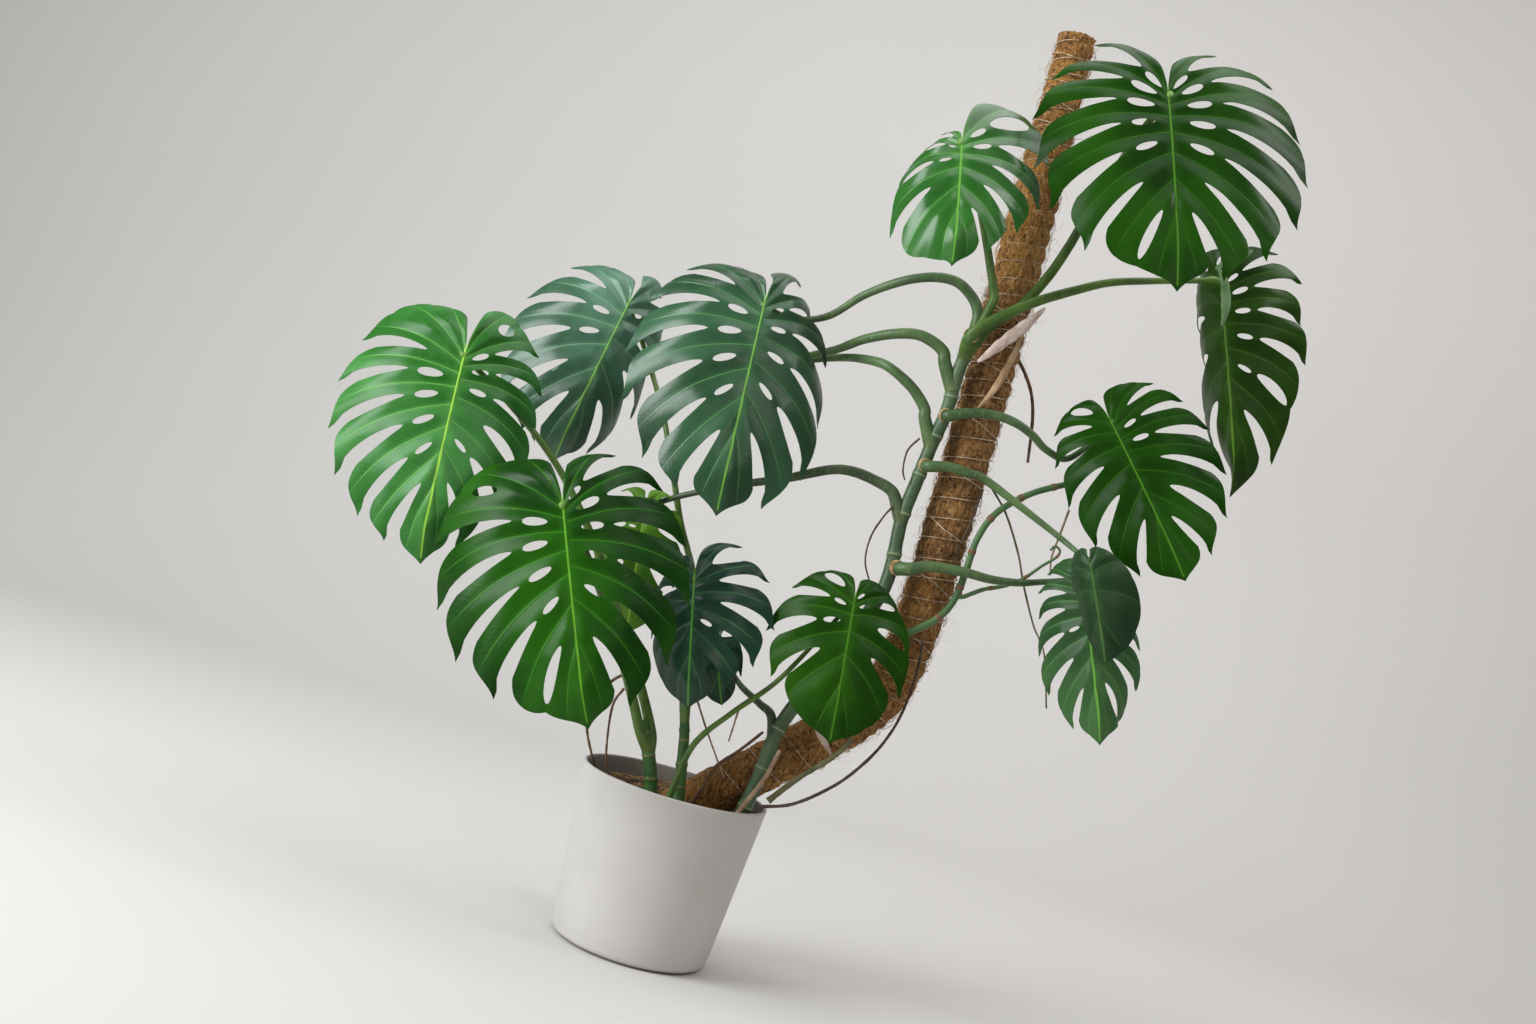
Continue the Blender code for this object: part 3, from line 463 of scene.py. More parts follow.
# deep and fresh are the blade's two greens, vein and rib the pale lines, gloss the roughness, and sheen how
# strongly the surface mirrors
leafLooks = {
    "spring": dict(deep=(0.012, 0.110, 0.008), fresh=(0.055, 0.225, 0.050), vein=(0.130, 0.400, 0.070),
        rib=(0.330, 0.640, 0.060), gloss=0.30, sheen=0.28),
    "emerald": dict(deep=(0.004, 0.037, 0.001), fresh=(0.014, 0.092, 0.002), vein=(0.040, 0.210, 0.010),
        rib=(0.120, 0.350, 0.020), gloss=0.26, sheen=0.16),
    # painted reflection: this look's pale blue-green greens stand in for the window light mirrored on the
    # blade
    "frost": dict(deep=(0.026, 0.080, 0.040), fresh=(0.072, 0.170, 0.108), vein=(0.150, 0.340, 0.170),
        rib=(0.200, 0.460, 0.060), gloss=0.24, sheen=0.45),
    "steel": dict(deep=(0.010, 0.042, 0.014), fresh=(0.034, 0.106, 0.048), vein=(0.085, 0.250, 0.080),
        rib=(0.170, 0.440, 0.050), gloss=0.24, sheen=0.42),
    "ink": dict(deep=(0.004, 0.024, 0.013), fresh=(0.009, 0.052, 0.025), vein=(0.050, 0.170, 0.060),
        rib=(0.100, 0.340, 0.045), gloss=0.24, sheen=0.40),
    "moss": dict(deep=(0.007, 0.042, 0.001), fresh=(0.019, 0.088, 0.002), vein=(0.040, 0.150, 0.008),
        rib=(0.060, 0.200, 0.012), gloss=0.30, sheen=0.12),
    "young": dict(deep=(0.035, 0.120, 0.008), fresh=(0.100, 0.240, 0.018), vein=(0.160, 0.360, 0.040),
        rib=(0.260, 0.460, 0.050), gloss=0.32, sheen=0.25),
    "forest": dict(deep=(0.005, 0.032, 0.001), fresh=(0.014, 0.070, 0.003), vein=(0.030, 0.120, 0.008),
        rib=(0.070, 0.215, 0.014), gloss=0.27, sheen=0.10),
    "glossy": dict(deep=(0.012, 0.085, 0.008), fresh=(0.026, 0.145, 0.016), vein=(0.090, 0.310, 0.050),
        rib=(0.130, 0.380, 0.035), gloss=0.20, sheen=0.42),
    "olive": dict(deep=(0.010, 0.036, 0.002), fresh=(0.026, 0.080, 0.005), vein=(0.048, 0.130, 0.012),
        rib=(0.085, 0.200, 0.020), gloss=0.30, sheen=0.14),
    "sage": dict(deep=(0.022, 0.070, 0.020), fresh=(0.050, 0.135, 0.040), vein=(0.090, 0.230, 0.065),
        rib=(0.160, 0.430, 0.050), gloss=0.32, sheen=0.24),
    "shade": dict(deep=(0.012, 0.036, 0.012), fresh=(0.022, 0.062, 0.020), vein=(0.045, 0.120, 0.035),
        rib=(0.060, 0.150, 0.035), gloss=0.32, sheen=0.20),
}


def marginReach(angle, reaches):
    knots = np.array([reaches[0], 1.0, *reaches, reaches[-1] * 0.8, reaches[-1] * 0.7])
    span = np.minimum((angle / blade["reachStep"]).astype(int), len(knots) - 4)
    t = angle / blade["reachStep"] - span
    a, b, c, d = (knots[span + k] for k in range(4))
    smooth = 0.5 * (2 * b + (c - a) * t + (2 * a - 5 * b + 4 * c - d) * t * t
                    + (3 * b - a - 3 * c + d) * t * t * t)
    # a drawn-out point at the tip
    return smooth * (1 - 0.09 * (np.exp(-angle / 14) - np.exp(-angle / 4)))


def veinPoint(along, out, reaches):
    # along runs from the basal lobe to the tip and out from the midrib to the margin
    along = np.clip(along, 0, 1)
    angle = blade["sinusAngle"] * (1 - along) * (1 - 0.5 * along)
    reach = marginReach(angle, reaches)
    angle = np.radians(angle)
    rib = np.stack([0 * along, 0.72 * along ** 2.1], -1)
    end = np.stack([reach * np.sin(angle), reach * np.cos(angle)], -1)
    chord = end - rib
    bulge = np.stack([chord[..., 1], -chord[..., 0]], -1) * 0.12
    control = (rib + end) / 2 + bulge * np.minimum(1.0, 3 * (1 - along))[..., None]
    out = out[..., None]
    return rib * (1 - out) ** 2 + control * 2 * out * (1 - out) + end * out * out


def slitHalf(share):
    share = np.clip(share, 0, 1)
    return blade["slitWidth"] * (np.sqrt(4 * share * (1 - share)) + 0.55 * share)


def lobePlan(spec, sideIndex, rng):
    # what differs from lobe to lobe on one half
    seams = " " + spec["slits"][sideIndex]
    lobes = len(seams)
    plan = dict(lobes=lobes, seams=seams, holes=" " + spec["holes"][sideIndex],
                reaches=spec["left"] if sideIndex == 0 else spec["right"])
    plan["opening"] = [0.0] + [blade["slitStart"] - 0.15 * s / lobes + rng.uniform(-0.04, 0.04)
                               for s in range(1, lobes)]
    for seam in range(1, lobes):
        if plan["holes"][seam] == "o":
            plan["opening"][seam] = max(0.38, plan["opening"][seam])
    plan["width"] = [1.0] + [rng.uniform(0.8, 1.2) + 0.9 * math.exp(-1.6 * (s - 1)) for s in range(1, lobes)]
    plan["stretch"] = [rng.uniform(-0.02, 0.02) for s in range(lobes)]
    plan["droop"] = [spec["droop"] * rng.uniform(0.3, 1.7) for s in range(lobes)]
    plan["twist"] = [rng.uniform(-0.03, 0.07) for s in range(lobes)]
    plan["curl"] = [rng.uniform(0.03, 0.085) for s in range(lobes)]
    for seam in range(1, lobes):
        if seams[seam] != "s":
            plan["droop"][seam] = plan["droop"][seam - 1]
    for lobe in range(lobes):
        if lobe == lobes - 1 or seams[lobe] in "cw-" or seams[lobe + 1] in "cw-":
            plan["twist"][lobe] = 0.0
            plan["curl"][lobe] = 0.02
    return plan


def marginOut(lobe, share, plan):
    # how far out the margin of one lobe lies: rounded towards the base, pointed towards the tip
    meets = {"s": None, " ": None, "c": 0.985, "w": 0.99, "-": 1.0}
    low = meets[plan["seams"][lobe]]
    margin = blade["margin"]
    high = meets[plan["seams"][lobe + 1]] if lobe < plan["lobes"] - 1 else margin
    out = margin + plan["stretch"][lobe] * np.sin(np.pi * share)
    if low is None:
        out = out - 0.07 * (1 - share) ** 2.2 - 0.10 * (1 - share) ** 9
    else:
        out = out - (margin - low) * (1 - share) ** 5
    if high is None:
        return out + 0.05 * share ** 8
    return out - (margin - high) * share ** 5


def window(seam, start, end, plan, ratio=None):
    # an oval between two distances out on a seam; ratio is its breadth to its length on the blade
    middle, tall = (start + end) / 2, (end - start) / 2
    wide = min(0.27, 0.15 * plan["width"][seam])
    if ratio:
        at = np.array([seam / plan["lobes"]])
        near = veinPoint(at + 0.01, np.array([middle]), plan["reaches"])
        far = veinPoint(at - 0.01, np.array([middle]), plan["reaches"])
        pitch = np.linalg.norm(near - far) / (0.02 * plan["lobes"])
        reach = np.linalg.norm(veinPoint(at, np.array([1.0]), plan["reaches"])
                               - veinPoint(at, np.array([0.0]), plan["reaches"]))
        wide = min(0.30, ratio * tall * reach / pitch)
    turn = np.linspace(0, math.tau, 25)[:-1]
    return [(seam + wide * math.sin(a), middle - tall * math.cos(a)) for a in turn]


def halfLoops(plan):
    # closed loops of one half in the plane of lobes across and out: the margin first, then its windows
    lobes, seams, opening = plan["lobes"], plan["seams"], plan["opening"]
    main = [(x, 0.0) for x in np.linspace(0, 1, 73) * lobes]
    main += [(float(lobes), y) for y in np.linspace(0, 1, 30)[1:-1]]
    corner = blade["corner"]
    for lobe in reversed(range(lobes)):
        lowOpen = seams[lobe] == "s"
        highOpen = lobe < lobes - 1 and seams[lobe + 1] == "s"
        top = (corner - opening[lobe]) / (1 - opening[lobe])
        low = float(slitHalf(top)) * plan["width"][lobe] if lowOpen else 0.0
        high = float(slitHalf(1.0)) * plan["width"][lobe + 1] if highOpen else 0.0
        for share in 1 - np.linspace(0, 1, 21) ** 1.15:
            main.append((lobe + low + (1 - low - high) * share, float(marginOut(lobe, share, plan))))
        if not lowOpen:
            continue
        # down the slit and up its other side
        start = opening[lobe]
        for k in np.linspace(1, 0, 16)[1:]:
            share = top * k * k
            main.append((lobe + float(slitHalf(share)) * plan["width"][lobe], start + (1 - start) * share))
        for k in np.linspace(0, 1, 17)[1:]:
            share = k * k
            main.append((lobe - float(slitHalf(share)) * plan["width"][lobe],
                         min(1.0, start + (1 - start) * share)))
    main += [(0.0, y) for y in np.linspace(corner, 0, 24)[1:-1]]
    windows = []
    for seam in range(1, lobes):
        if seams[seam] == "c":
            windows.append(window(seam, opening[seam], blade["shutEnd"], plan))
        if seams[seam] == "w":
            windows.append(window(seam, *blade["shortWindow"], plan))
        if plan["holes"][seam] == "o":
            windows.append(window(seam, blade["holeStart"], opening[seam] - 0.08, plan, blade["holeRatio"]))
    return [tidyLoop(main)] + windows


def tidyLoop(loop):
    kept = []
    for point in loop:
        if not kept or math.hypot(point[0] - kept[-1][0], (point[1] - kept[-1][1]) * 3) > 0.012:
            kept.append(point)
    return kept


def insideLoops(points, loops):
    # even-odd test
    inside = np.zeros(len(points), bool)
    for loop in loops:
        ring = np.array(loop)
        for (ax, ay), (bx, by) in zip(ring, np.roll(ring, -1, 0)):
            crosses = (ay > points[:, 1]) != (by > points[:, 1])
            if crosses.any():
                x = ax + (points[:, 1] - ay) * (bx - ax) / (by - ay if by != ay else 1e-12)
                inside ^= crosses & (points[:, 0] < x)
    return inside


def halfSheet(plan):
    # triangles of one half, in the plane of lobes across and out
    stretch = blade["rowStretch"]
    loops = halfLoops(plan)
    border = np.concatenate([np.array(loop) for loop in loops])
    columns = np.arange(1, plan["lobes"] * blade["columns"]) / blade["columns"]
    rows = np.arange(1, blade["rows"]) / blade["rows"] * 1.04
    grid = []
    for j, y in enumerate(rows):
        for i, x in enumerate(columns, 1):
            if y > 0.3 or i % 5 == 0 or (i + j) % 2 == 0:
                grid.append((x, y))
    grid = np.array(grid)
    grid = grid[insideLoops(grid, loops)]
    gaps = (grid[:, None] - border[None]) * (1, stretch)
    grid = grid[np.linalg.norm(gaps, axis=-1).min(1) > blade["pointGap"]]
    points = np.concatenate([border, grid])
    edges, start = [], 0
    for loop in loops:
        edges += [(start + k, start + (k + 1) % len(loop)) for k in range(len(loop))]
        start += len(loop)
    flat = [Vector((x, y * stretch)) for x, y in points]
    verts, _, faces, *_ = delaunay_2d_cdt(flat, edges, [], 1, 1e-7)
    coords = np.array([v[:] for v in verts])
    coords[:, 1] /= stretch
    faces = np.array(faces)
    middles = coords[faces].mean(1)
    return coords, faces[insideLoops(middles, loops)], np.arange(len(border))


def lobeValue(values, x, lobes):
    # one value a lobe, blended across the seams
    values = np.array(values)
    seam = np.clip(np.round(x), 1, lobes - 1).astype(int)
    blend = np.clip((x - seam) / blade["seamBlend"] + 0.5, 0, 1)
    blend = blend * blend * (3 - 2 * blend)
    return values[seam - 1] * (1 - blend) + values[seam] * blend


def shapeHalf(coords, spec, side, plan):
    # points of one half in the leaf's own space, with what the shader needs
    lobes, length, reaches = plan["lobes"], spec["length"], plan["reaches"]
    fold = spec["fold"][0] if side > 0 else spec["fold"][1]
    x, out = coords[:, 0], coords[:, 1]
    flat = veinPoint(x / lobes, out, reaches) * length
    step = 0.02
    lobeSpan = np.linalg.norm(veinPoint((x + step) / lobes, out, reaches)
                              - veinPoint((x - step) / lobes, out, reaches), axis=-1) * length / (2 * step)
    share = x - np.minimum(x.astype(int), lobes - 1)
    veinGap = np.abs(share - 0.5) * np.maximum(lobeSpan, 0.004)
    ribGap = np.abs(flat[:, 0]) + np.maximum(0, flat[:, 1] - 0.985 * length) * 3
    u, v = flat[:, 0] / length, flat[:, 1] / length
    rise = length * (0.16 * u - 0.34 * u * u)
    hang = length * v * v * np.where(v > 0, 0.10, 0.30)
    ease = np.clip(out / 0.12, 0, 1)
    tipEase = np.clip(2 * (lobes - x), 0, 1)
    quilt = np.clip(lobeSpan / 0.03, 0, 1) * np.sin(np.pi * np.abs(share - 0.5)) ** 2
    rise = rise + blade["puff"] * ease * tipEase * quilt
    rise = rise - blade["groove"] * ease * np.exp(-(veinGap / blade["grooveReach"]) ** 2)
    far = np.maximum(0, (out - 0.45) / 0.55)
    droop = lobeValue(plan["droop"], x, lobes) * far ** 1.6
    twist = lobeValue(plan["twist"], x, lobes) * (share - 0.5) * np.maximum(0, (out - 0.62) / 0.38)
    curl = lobeValue(plan["curl"], x, lobes) * 4 * (share - 0.5) ** 2 * far
    fall = (droop + curl - twist) * length
    # the halves stay joined at the tip, so the fall turns with the fold only away from it
    turn = math.radians(fold)
    lean = turn * tipEase
    across = flat[:, 0] * math.cos(turn) + rise * math.sin(turn) - fall * np.sin(lean)
    height = rise * math.cos(turn) - flat[:, 0] * math.sin(turn) - hang - fall * np.cos(lean)
    return np.stack([side * across, flat[:, 1], height], -1), veinGap * 1000, ribGap * 1000


def leafAxes(spec):
    swing, pitch = math.radians(spec["swing"]), math.radians(spec["pitch"])
    down = Vector((math.sin(swing), 0, -math.cos(swing)))
    front = Vector((0, -1, 0))
    midrib = down * math.cos(pitch) + front * math.sin(pitch)
    face = front * math.cos(pitch) - down * math.sin(pitch)
    return midrib.cross(face), midrib, face


def vertexNormals(points, faces):
    normals = np.zeros_like(points)
    corners = points[faces]
    cross = np.cross(corners[:, 1] - corners[:, 0], corners[:, 2] - corners[:, 0])
    for k in range(3):
        np.add.at(normals, faces[:, k], cross)
    return normals / np.maximum(np.linalg.norm(normals, axis=1, keepdims=True), 1e-12)


def joinHalves(halves):
    # one sheet out of both halves, with the midrib's and the tip's points shared
    points, layers = (np.concatenate([half[name] for half in halves]) for name in ("points", "layers"))
    faces = np.concatenate([halves[0]["faces"], halves[1]["faces"] + len(halves[0]["points"])])
    keys = np.round(points / 2e-6).astype(np.int64)
    _, first, index = np.unique(keys, axis=0, return_index=True, return_inverse=True)
    faces = index.reshape(-1)[faces]
    solid = (faces[:, 0] != faces[:, 1]) & (faces[:, 1] != faces[:, 2]) & (faces[:, 0] != faces[:, 2])
    return points[first], faces[solid], layers[first]


def rimDistance(points, edge):
    # how far each point lies from the margin, in blocks to save memory
    blocks = [points[start:start + 2000] for start in range(0, len(points), 2000)]
    return np.concatenate([np.linalg.norm(block[:, None] - edge[None], axis=-1).min(1) for block in blocks])


def makeMidrib(spec, plan, start):
    # a tapering tube that stands proud of both faces, more at the back
    steps, sides = midrib["steps"], midrib["sides"]
    along = np.linspace(0, 1, steps)
    x = np.minimum(1, along * midrib["alongRib"]) * plan["lobes"]
    out = np.maximum(0, along * midrib["alongRib"] - 1) / 0.4 * midrib["tipReach"]
    line, _, _ = shapeHalf(np.stack([x, out], -1), spec, 1, plan)
    thick = spec["length"] * midrib["radiusShare"] * (1 - 0.88 * along) + midrib["finest"]
    points, side = [], np.array([1.0, 0, 0])
    for k, point in enumerate(line):
        ahead, behind = line[min(k + 1, steps - 1)], line[max(k - 1, 0)]
        up = np.cross(side, (ahead - behind) / np.linalg.norm(ahead - behind))
        centre = point - up * thick[k] * midrib["sunk"]
        for turn in np.linspace(0, math.tau, sides + 1)[:-1]:
            points.append(centre + side * thick[k] * math.cos(turn) + up * thick[k] * math.sin(turn))
    faces = ringFaces(steps, sides, start, True)
    faces.append(tuple(start + i for i in range(sides)))
    faces.append(tuple(start + (steps - 1) * sides + i for i in reversed(range(sides))))
    layers = np.zeros((len(points), 5))
    layers[:, 0] = np.repeat(x, sides)
    layers[:, 2], layers[:, 4] = 20, 40  # far from any vein and from the margin
    return np.array(points), faces, layers


def makeLeaf(key, spec, material):
    rng = random.Random(int(key) * 17 + 5)
    halves = []
    for sideIndex, side in enumerate((1, -1)):
        plan = lobePlan(spec, sideIndex, rng)
        if sideIndex == 1:
            plan["droop"][-1] = tipDroop
        tipDroop = plan["droop"][-1]
        coords, faces, border = halfSheet(plan)
        points, veinGap, ribGap = shapeHalf(coords, spec, side, plan)
        rimGap = rimDistance(points, points[border][coords[border, 1] > 0.02][::2])
        layers = np.stack([coords[:, 0], coords[:, 1] * side, veinGap, ribGap, rimGap * 1000], -1)
        halves.append(dict(points=points, faces=faces if side > 0 else faces[:, ::-1], layers=layers))
    points, faces, layers = joinHalves(halves)
    normals = vertexNormals(points, faces)
    if normals[:, 2].mean() < 0:
        faces, normals = faces[:, ::-1], -normals

    # two faces a thickness apart, with the laterals as ridges under the lower one, joined round every edge
    count = len(points)
    ridge = blade["ridge"] * np.exp(-(layers[:, 2] / 1.1) ** 2) * np.clip(1.1 - np.abs(layers[:, 1]), 0, 1)
    top = points + normals * blade["thickness"] / 2
    bottom = points - normals * (blade["thickness"] / 2 + ridge[:, None])
    ends = np.concatenate([faces[:, [0, 1]], faces[:, [1, 2]], faces[:, [2, 0]]])
    _, index, seen = np.unique(np.sort(ends, 1), axis=0, return_inverse=True, return_counts=True)
    rim = ends[seen[index.reshape(-1)] == 1]
    allFaces = [tuple(f) for f in faces] + [tuple(f[::-1] + count) for f in faces]
    allFaces += [(b, a, a + count, b + count) for a, b in rim]
    ribPoints, ribFaces, ribLayers = makeMidrib(spec, plan, 2 * count)
    allLayers = np.concatenate([layers, layers, ribLayers])
    under = np.concatenate([np.zeros(count), np.ones(count), np.full(len(ribPoints), 0.2)])

    axes = np.array([axis[:] for axis in leafAxes(spec)])
    world = np.concatenate([top, bottom, ribPoints]) @ axes + np.array(spec["base"])
    obj = meshOf("leaf-" + key, world, allFaces + ribFaces, material, 55)
    for layer, name in enumerate(("lobeAcross", "lobeOut", "veinGap", "ribGap", "rimGap")):
        pointValues(obj, name, allLayers[:, layer])
    pointValues(obj, "under", under)
    return obj


def leafFinish(name, look):
    f = Finish(name, Specular_IOR_Level=look["sheen"], IOR=1.45)
    veinGap, ribGap, rimGap = f.attribute("veinGap"), f.attribute("ribGap"), f.attribute("rimGap")
    under = f.attribute("under")
    across, out = f.attribute("lobeAcross"), f.attribute("lobeOut").size()
    cloud = f.noise(7.0, 3.0)
    mottle = f.noise(42.0, 4.0)
    wobble = f.noise(55.0, 2.0)
    # fine veins leave each lateral vein and bend forward
    chevron = (out * 19 - ((across.fraction() - 0.5).size() * 7) + wobble * 0.5) * math.tau
    fine = chevron.sine().step(0.55, 1.0)
    vein = veinGap.step(0.35, 1.5, 1.0, 0.0) * out.step(0.75, 1.0, 1.0, 0.25)
    halo = veinGap.step(0.5, 7.0, 1.0, 0.0) * out.step(0.3, 1.0, 1.0, 0.0)
    rib = ribGap.step(0.8, 1.9, 1.0, 0.0)
    ribHalo = ribGap.step(1.0, 14.0, 1.0, 0.0)
    rim = rimGap.step(0.2, 1.0, 1.0, 0.0)
    body = f.mix(cloud.step(0.35, 0.68), look["deep"], look["fresh"])
    body = f.mix(mottle.step(0.45, 0.8) * 0.25, body, look["fresh"])
    body = f.mix(fine * 0.05 + halo * 0.12 + ribHalo * 0.18, body, look["vein"])
    body = f.mix(vein * 0.62, body, look["vein"])
    body = f.mix(rib * 0.9, body, look["rib"])
    body = f.mix(rim * 0.35, body, look["vein"])
    paler = tuple(min(1.0, c * 1.7 + 0.03) for c in look["fresh"])
    colour = f.mix(under * (1 - rib * 0.7) * 0.85, body, paler)
    rough = look["gloss"] + mottle * 0.10 + under * 0.2 + rib * 0.1
    height = fine * -0.14 + mottle * 0.3 + vein * -0.7
    return f.surface(colour, rough, height, 0.0005, 0.55)


finishes = {look: leafFinish("leaf" + look.capitalize(), values) for look, values in leafLooks.items()}
brightLeaves = ("01", "04", "06", "07", "10", "13")
for key, spec in leafShapes.items():
    leaf = makeLeaf(key, spec, finishes[spec["look"]])
    settle(leaf, "leaf_bright" if key in brightLeaves else "leaf_deep", "leaf_" + key)


stemRoutes = {
    "stem_main": dict(route=mm((95, -62, 200), (108, -60, 265), (116, -58, 322), (121, -58, 379),
        (140, -57, 436), (178, -55, 525), (208, -50, 607), (214, -45, 655), (209, -40, 725),
        (214, -40, 785), (220, -40, 845), (227, -42, 900), (227, -44, 955), (230, -48, 990),
        (238, -52, 1018)), radii=(0.0108, 0.0098), spacing=0.062, rise=0.12),
    "stem_left": dict(route=mm((-25, -65, 195), (-35, -65, 255), (-49, -66, 293), (-60, -67, 312),
        (-72, -66, 340)), radii=(0.0120, 0.0080), spacing=0.034, rise=0.10),
    "stem_centre": dict(route=mm((16, -66, 195), (9, -65, 250), (-6, -63, 328), (-18, -60, 371),
        (-24, -58, 392)), radii=(0.0098, 0.0068), spacing=0.05, rise=0.10),
    "side_shoot": dict(route=mm((262, -44, 568), (270, -50, 575), (302, -48, 606), (317, -45, 639),
        (321, -45, 681), (323, -45, 729), (335, -42, 768), (357, -38, 797), (389, -30, 824),
        (430, -12, 848)), radii=(0.0055, 0.0046), spacing=0.056, rise=0.20),
    "shoot_branch": dict(route=mm((321, -45, 650), (326, -45, 644), (355, -38, 664), (386, -34, 679),
        (409, -32, 698), (427, -32, 720), (444, -34, 739), (447, -36, 750), (438, -37, 755),
        (433, -36, 747)), radii=(0.0036, 0.0017), spacing=0.056, rise=0.20),
}

# route to the back of the blade, the radius at each end, and the stem that it grows from
petioleRoutes = {
    "01": dict(route=mm((-56, -58, 325), (-86, -55, 379), (-140, -50, 460), (-210, -45, 560),
        (-280, -45, 641), (-340, -50, 693), (-410, -72, 740)), radii=(0.0078, 0.0040), stem="stem_left"),
    "02": dict(route=mm((-24, -50, 387), (-40, -20, 460), (-61, 20, 551), (-107, 42, 632), (-145, 55, 712),
        (-183, 78, 785), (-225, 114, 850), (-260, 106, 900)), radii=(0.0060, 0.0036), stem="stem_centre"),
    "03": dict(route=mm((232, -52, 1034), (228, -52, 1054), (214, -52, 1071), (188, -53, 1085),
        (154, -52, 1083), (111, -40, 1066), (63, -12, 1034), (20, 2, 990), (-30, -22, 968)),
        radii=(0.0090, 0.0038), stem="stem_main"),
    "04": dict(route=mm((-72, -76, 327), (-101, -85, 379), (-150, -105, 460), (-210, -145, 550)),
        radii=(0.0078, 0.0045), stem="stem_left"),
    "05": dict(route=mm((-19, -68, 385), (-30, -66, 430), (-44, -72, 500)), radii=(0.0062, 0.0032),
        stem="stem_centre"),
    "06": dict(route=mm((-6, -92, 203), (-2, -90, 260), (10, -89, 331), (50, -88, 390), (100, -87, 453),
        (145, -86, 540)), radii=(0.0050, 0.0030), stem=None),
    "07": dict(route=mm((190, -40, 757), (180, -40, 766), (163, -40, 771), (124, -40, 776), (88, -40, 769),
        (28, -38, 738), (-44, -20, 706), (-117, 12, 668)), radii=(0.0090, 0.0036), stem="stem_main"),
    "08": dict(route=mm((106, -52, 398), (85, -32, 408), (50, 15, 422), (15, 34, 452)),
        radii=(0.0070, 0.0030), stem="stem_main"),
    "09": dict(route=mm((254, -52.5, 1040), (285, -53, 1075), (311, -55, 1126), (329, -60, 1181),
        (345, -72, 1250), (372, -100, 1345)), radii=(0.0086, 0.0050), stem="stem_main"),
    "10": dict(route=mm((243, -71, 1062), (243, -72, 1080), (226, -75, 1116), (209, -80, 1150),
        (173, -100, 1213)), radii=(0.0074, 0.0042), stem="stem_main"),
    "11": dict(route=mm((228, -73, 1015), (257, -75, 1048), (303, -76, 1086), (351, -76, 1117),
        (400, -70, 1145), (463, -58, 1168), (530, -47, 1190), (550, -38, 1199)), radii=(0.0092, 0.0036),
        stem="stem_main"),
    "12": dict(route=mm((230, -62, 893), (264, -63, 907), (300, -63, 913), (330, -62, 910), (358, -52, 901),
        (385, -35, 888), (420, -12, 885), (448, -8, 915)), radii=(0.0082, 0.0036), stem="stem_main"),
    "13": dict(route=mm((236, -67, 661), (267, -66, 674), (316, -64, 680), (357, -62, 681), (401, -46, 688),
        (440, -20, 700), (470, -30, 711)), radii=(0.0096, 0.0030), stem="stem_main"),
    "14": dict(route=mm((224, -61, 814), (250, -62, 821), (279, -62, 821), (309, -62, 818), (380, -72, 790),
        (440, -92, 764)), radii=(0.0082, 0.0032), stem="stem_main"),
}

cutPetioles = {
    "cut_petiole_upper": dict(route=mm((205, -44, 966), (198, -44, 982), (179, -44, 992), (153, -43, 996),
        (118, -36, 987), (80, -8, 970), (46, 18, 947), (0, 26, 922)), radii=(0.0098, 0.0055)),
    "cut_petiole_lower": dict(route=mm((200, -41, 880), (194, -40, 896), (169, -38, 919), (134, -33, 937),
        (112, -20, 943), (80, 12, 943), (49, 40, 937), (-10, 46, 915)), radii=(0.0094, 0.0050)),
}

rootRoutes = {
    "root_loop": dict(route=mm((131, -66, 268), (169, -64, 282), (204, -62, 308), (237, -60, 342),
        (266, -58, 387), (283, -56, 429), (291, -54, 471), (293, -52, 520), (289, -50, 564)), radius=0.0026,
        tint="dark"),
    "root_thick": dict(route=mm((137, -62, 278), (170, -60, 322), (211, -54, 366), (231, -50, 398)),
        radius=0.0048, tint="green"),
    "root_pale": dict(route=mm((92, -83, 233.5), (103, -80, 262), (122, -77, 310), (132, -76, 356)),
        radius=0.0040, tint="pale"),
    "root_arch": dict(route=mm((30, -62, 233.5), (38, -62, 265), (50, -61, 305), (74, -60, 334),
        (102, -44, 370)), radius=0.0030, tint="brown"),
    "root_rim_back": dict(route=mm((-108, -35, 400), (-135, -20, 375), (-155, -5, 325), (-149, 0, 290),
        (-125, 5, 246), (-112, 10, 231.5)), radius=0.0024, tint="brown"),
    "root_rim_front": dict(route=mm((-112, -60, 375), (-121, -52, 345), (-113, -46, 286),
        (-98, -45, 231.5)), radius=0.0020, tint="brown"),
    "root_hanging": dict(route=mm((312, 52, 1020), (332, 45, 997), (349, 35, 969), (361, 28, 932),
        (372, 22, 866)), radius=0.0030, tint="brown"),
    "root_long": dict(route=mm((334, 30, 812), (364, 30, 782), (398, 28, 730), (420, 26, 685),
        (450, 24, 633), (478, 22, 595), (504, 20, 518)), radius=0.0017, tint="green"),
    "root_stem_low": dict(route=mm((190, -48, 742), (180, -50, 720), (172, -52, 690), (174, -54, 655),
        (190, -56, 625)), radius=0.0016, tint="dark"),
    "root_stem_high": dict(route=mm((200, -50, 850), (188, -52, 828), (189, -53, 800), (196, -52, 785)),
        radius=0.0016, tint="dark"),
    "root_on_pole": dict(route=mm((311, -45, 805), (308, -46, 760), (302, -47, 718), (298, -48, 692)),
        radius=0.0016, tint="dark"),
    "twig_left": dict(route=mm((-6, -40, 390), (25, -46, 345), (66, -52, 290)), radius=0.0016, tint="pale"),
    "twig_middle": dict(route=mm((58, -62, 392), (57, -64, 345)), radius=0.0016, tint="pale"),
    "twig_right": dict(route=mm((451, 15, 815), (448, 12, 776), (445, 8, 738), (450, 4, 712)),
        radius=0.0018, tint="pale"),
}


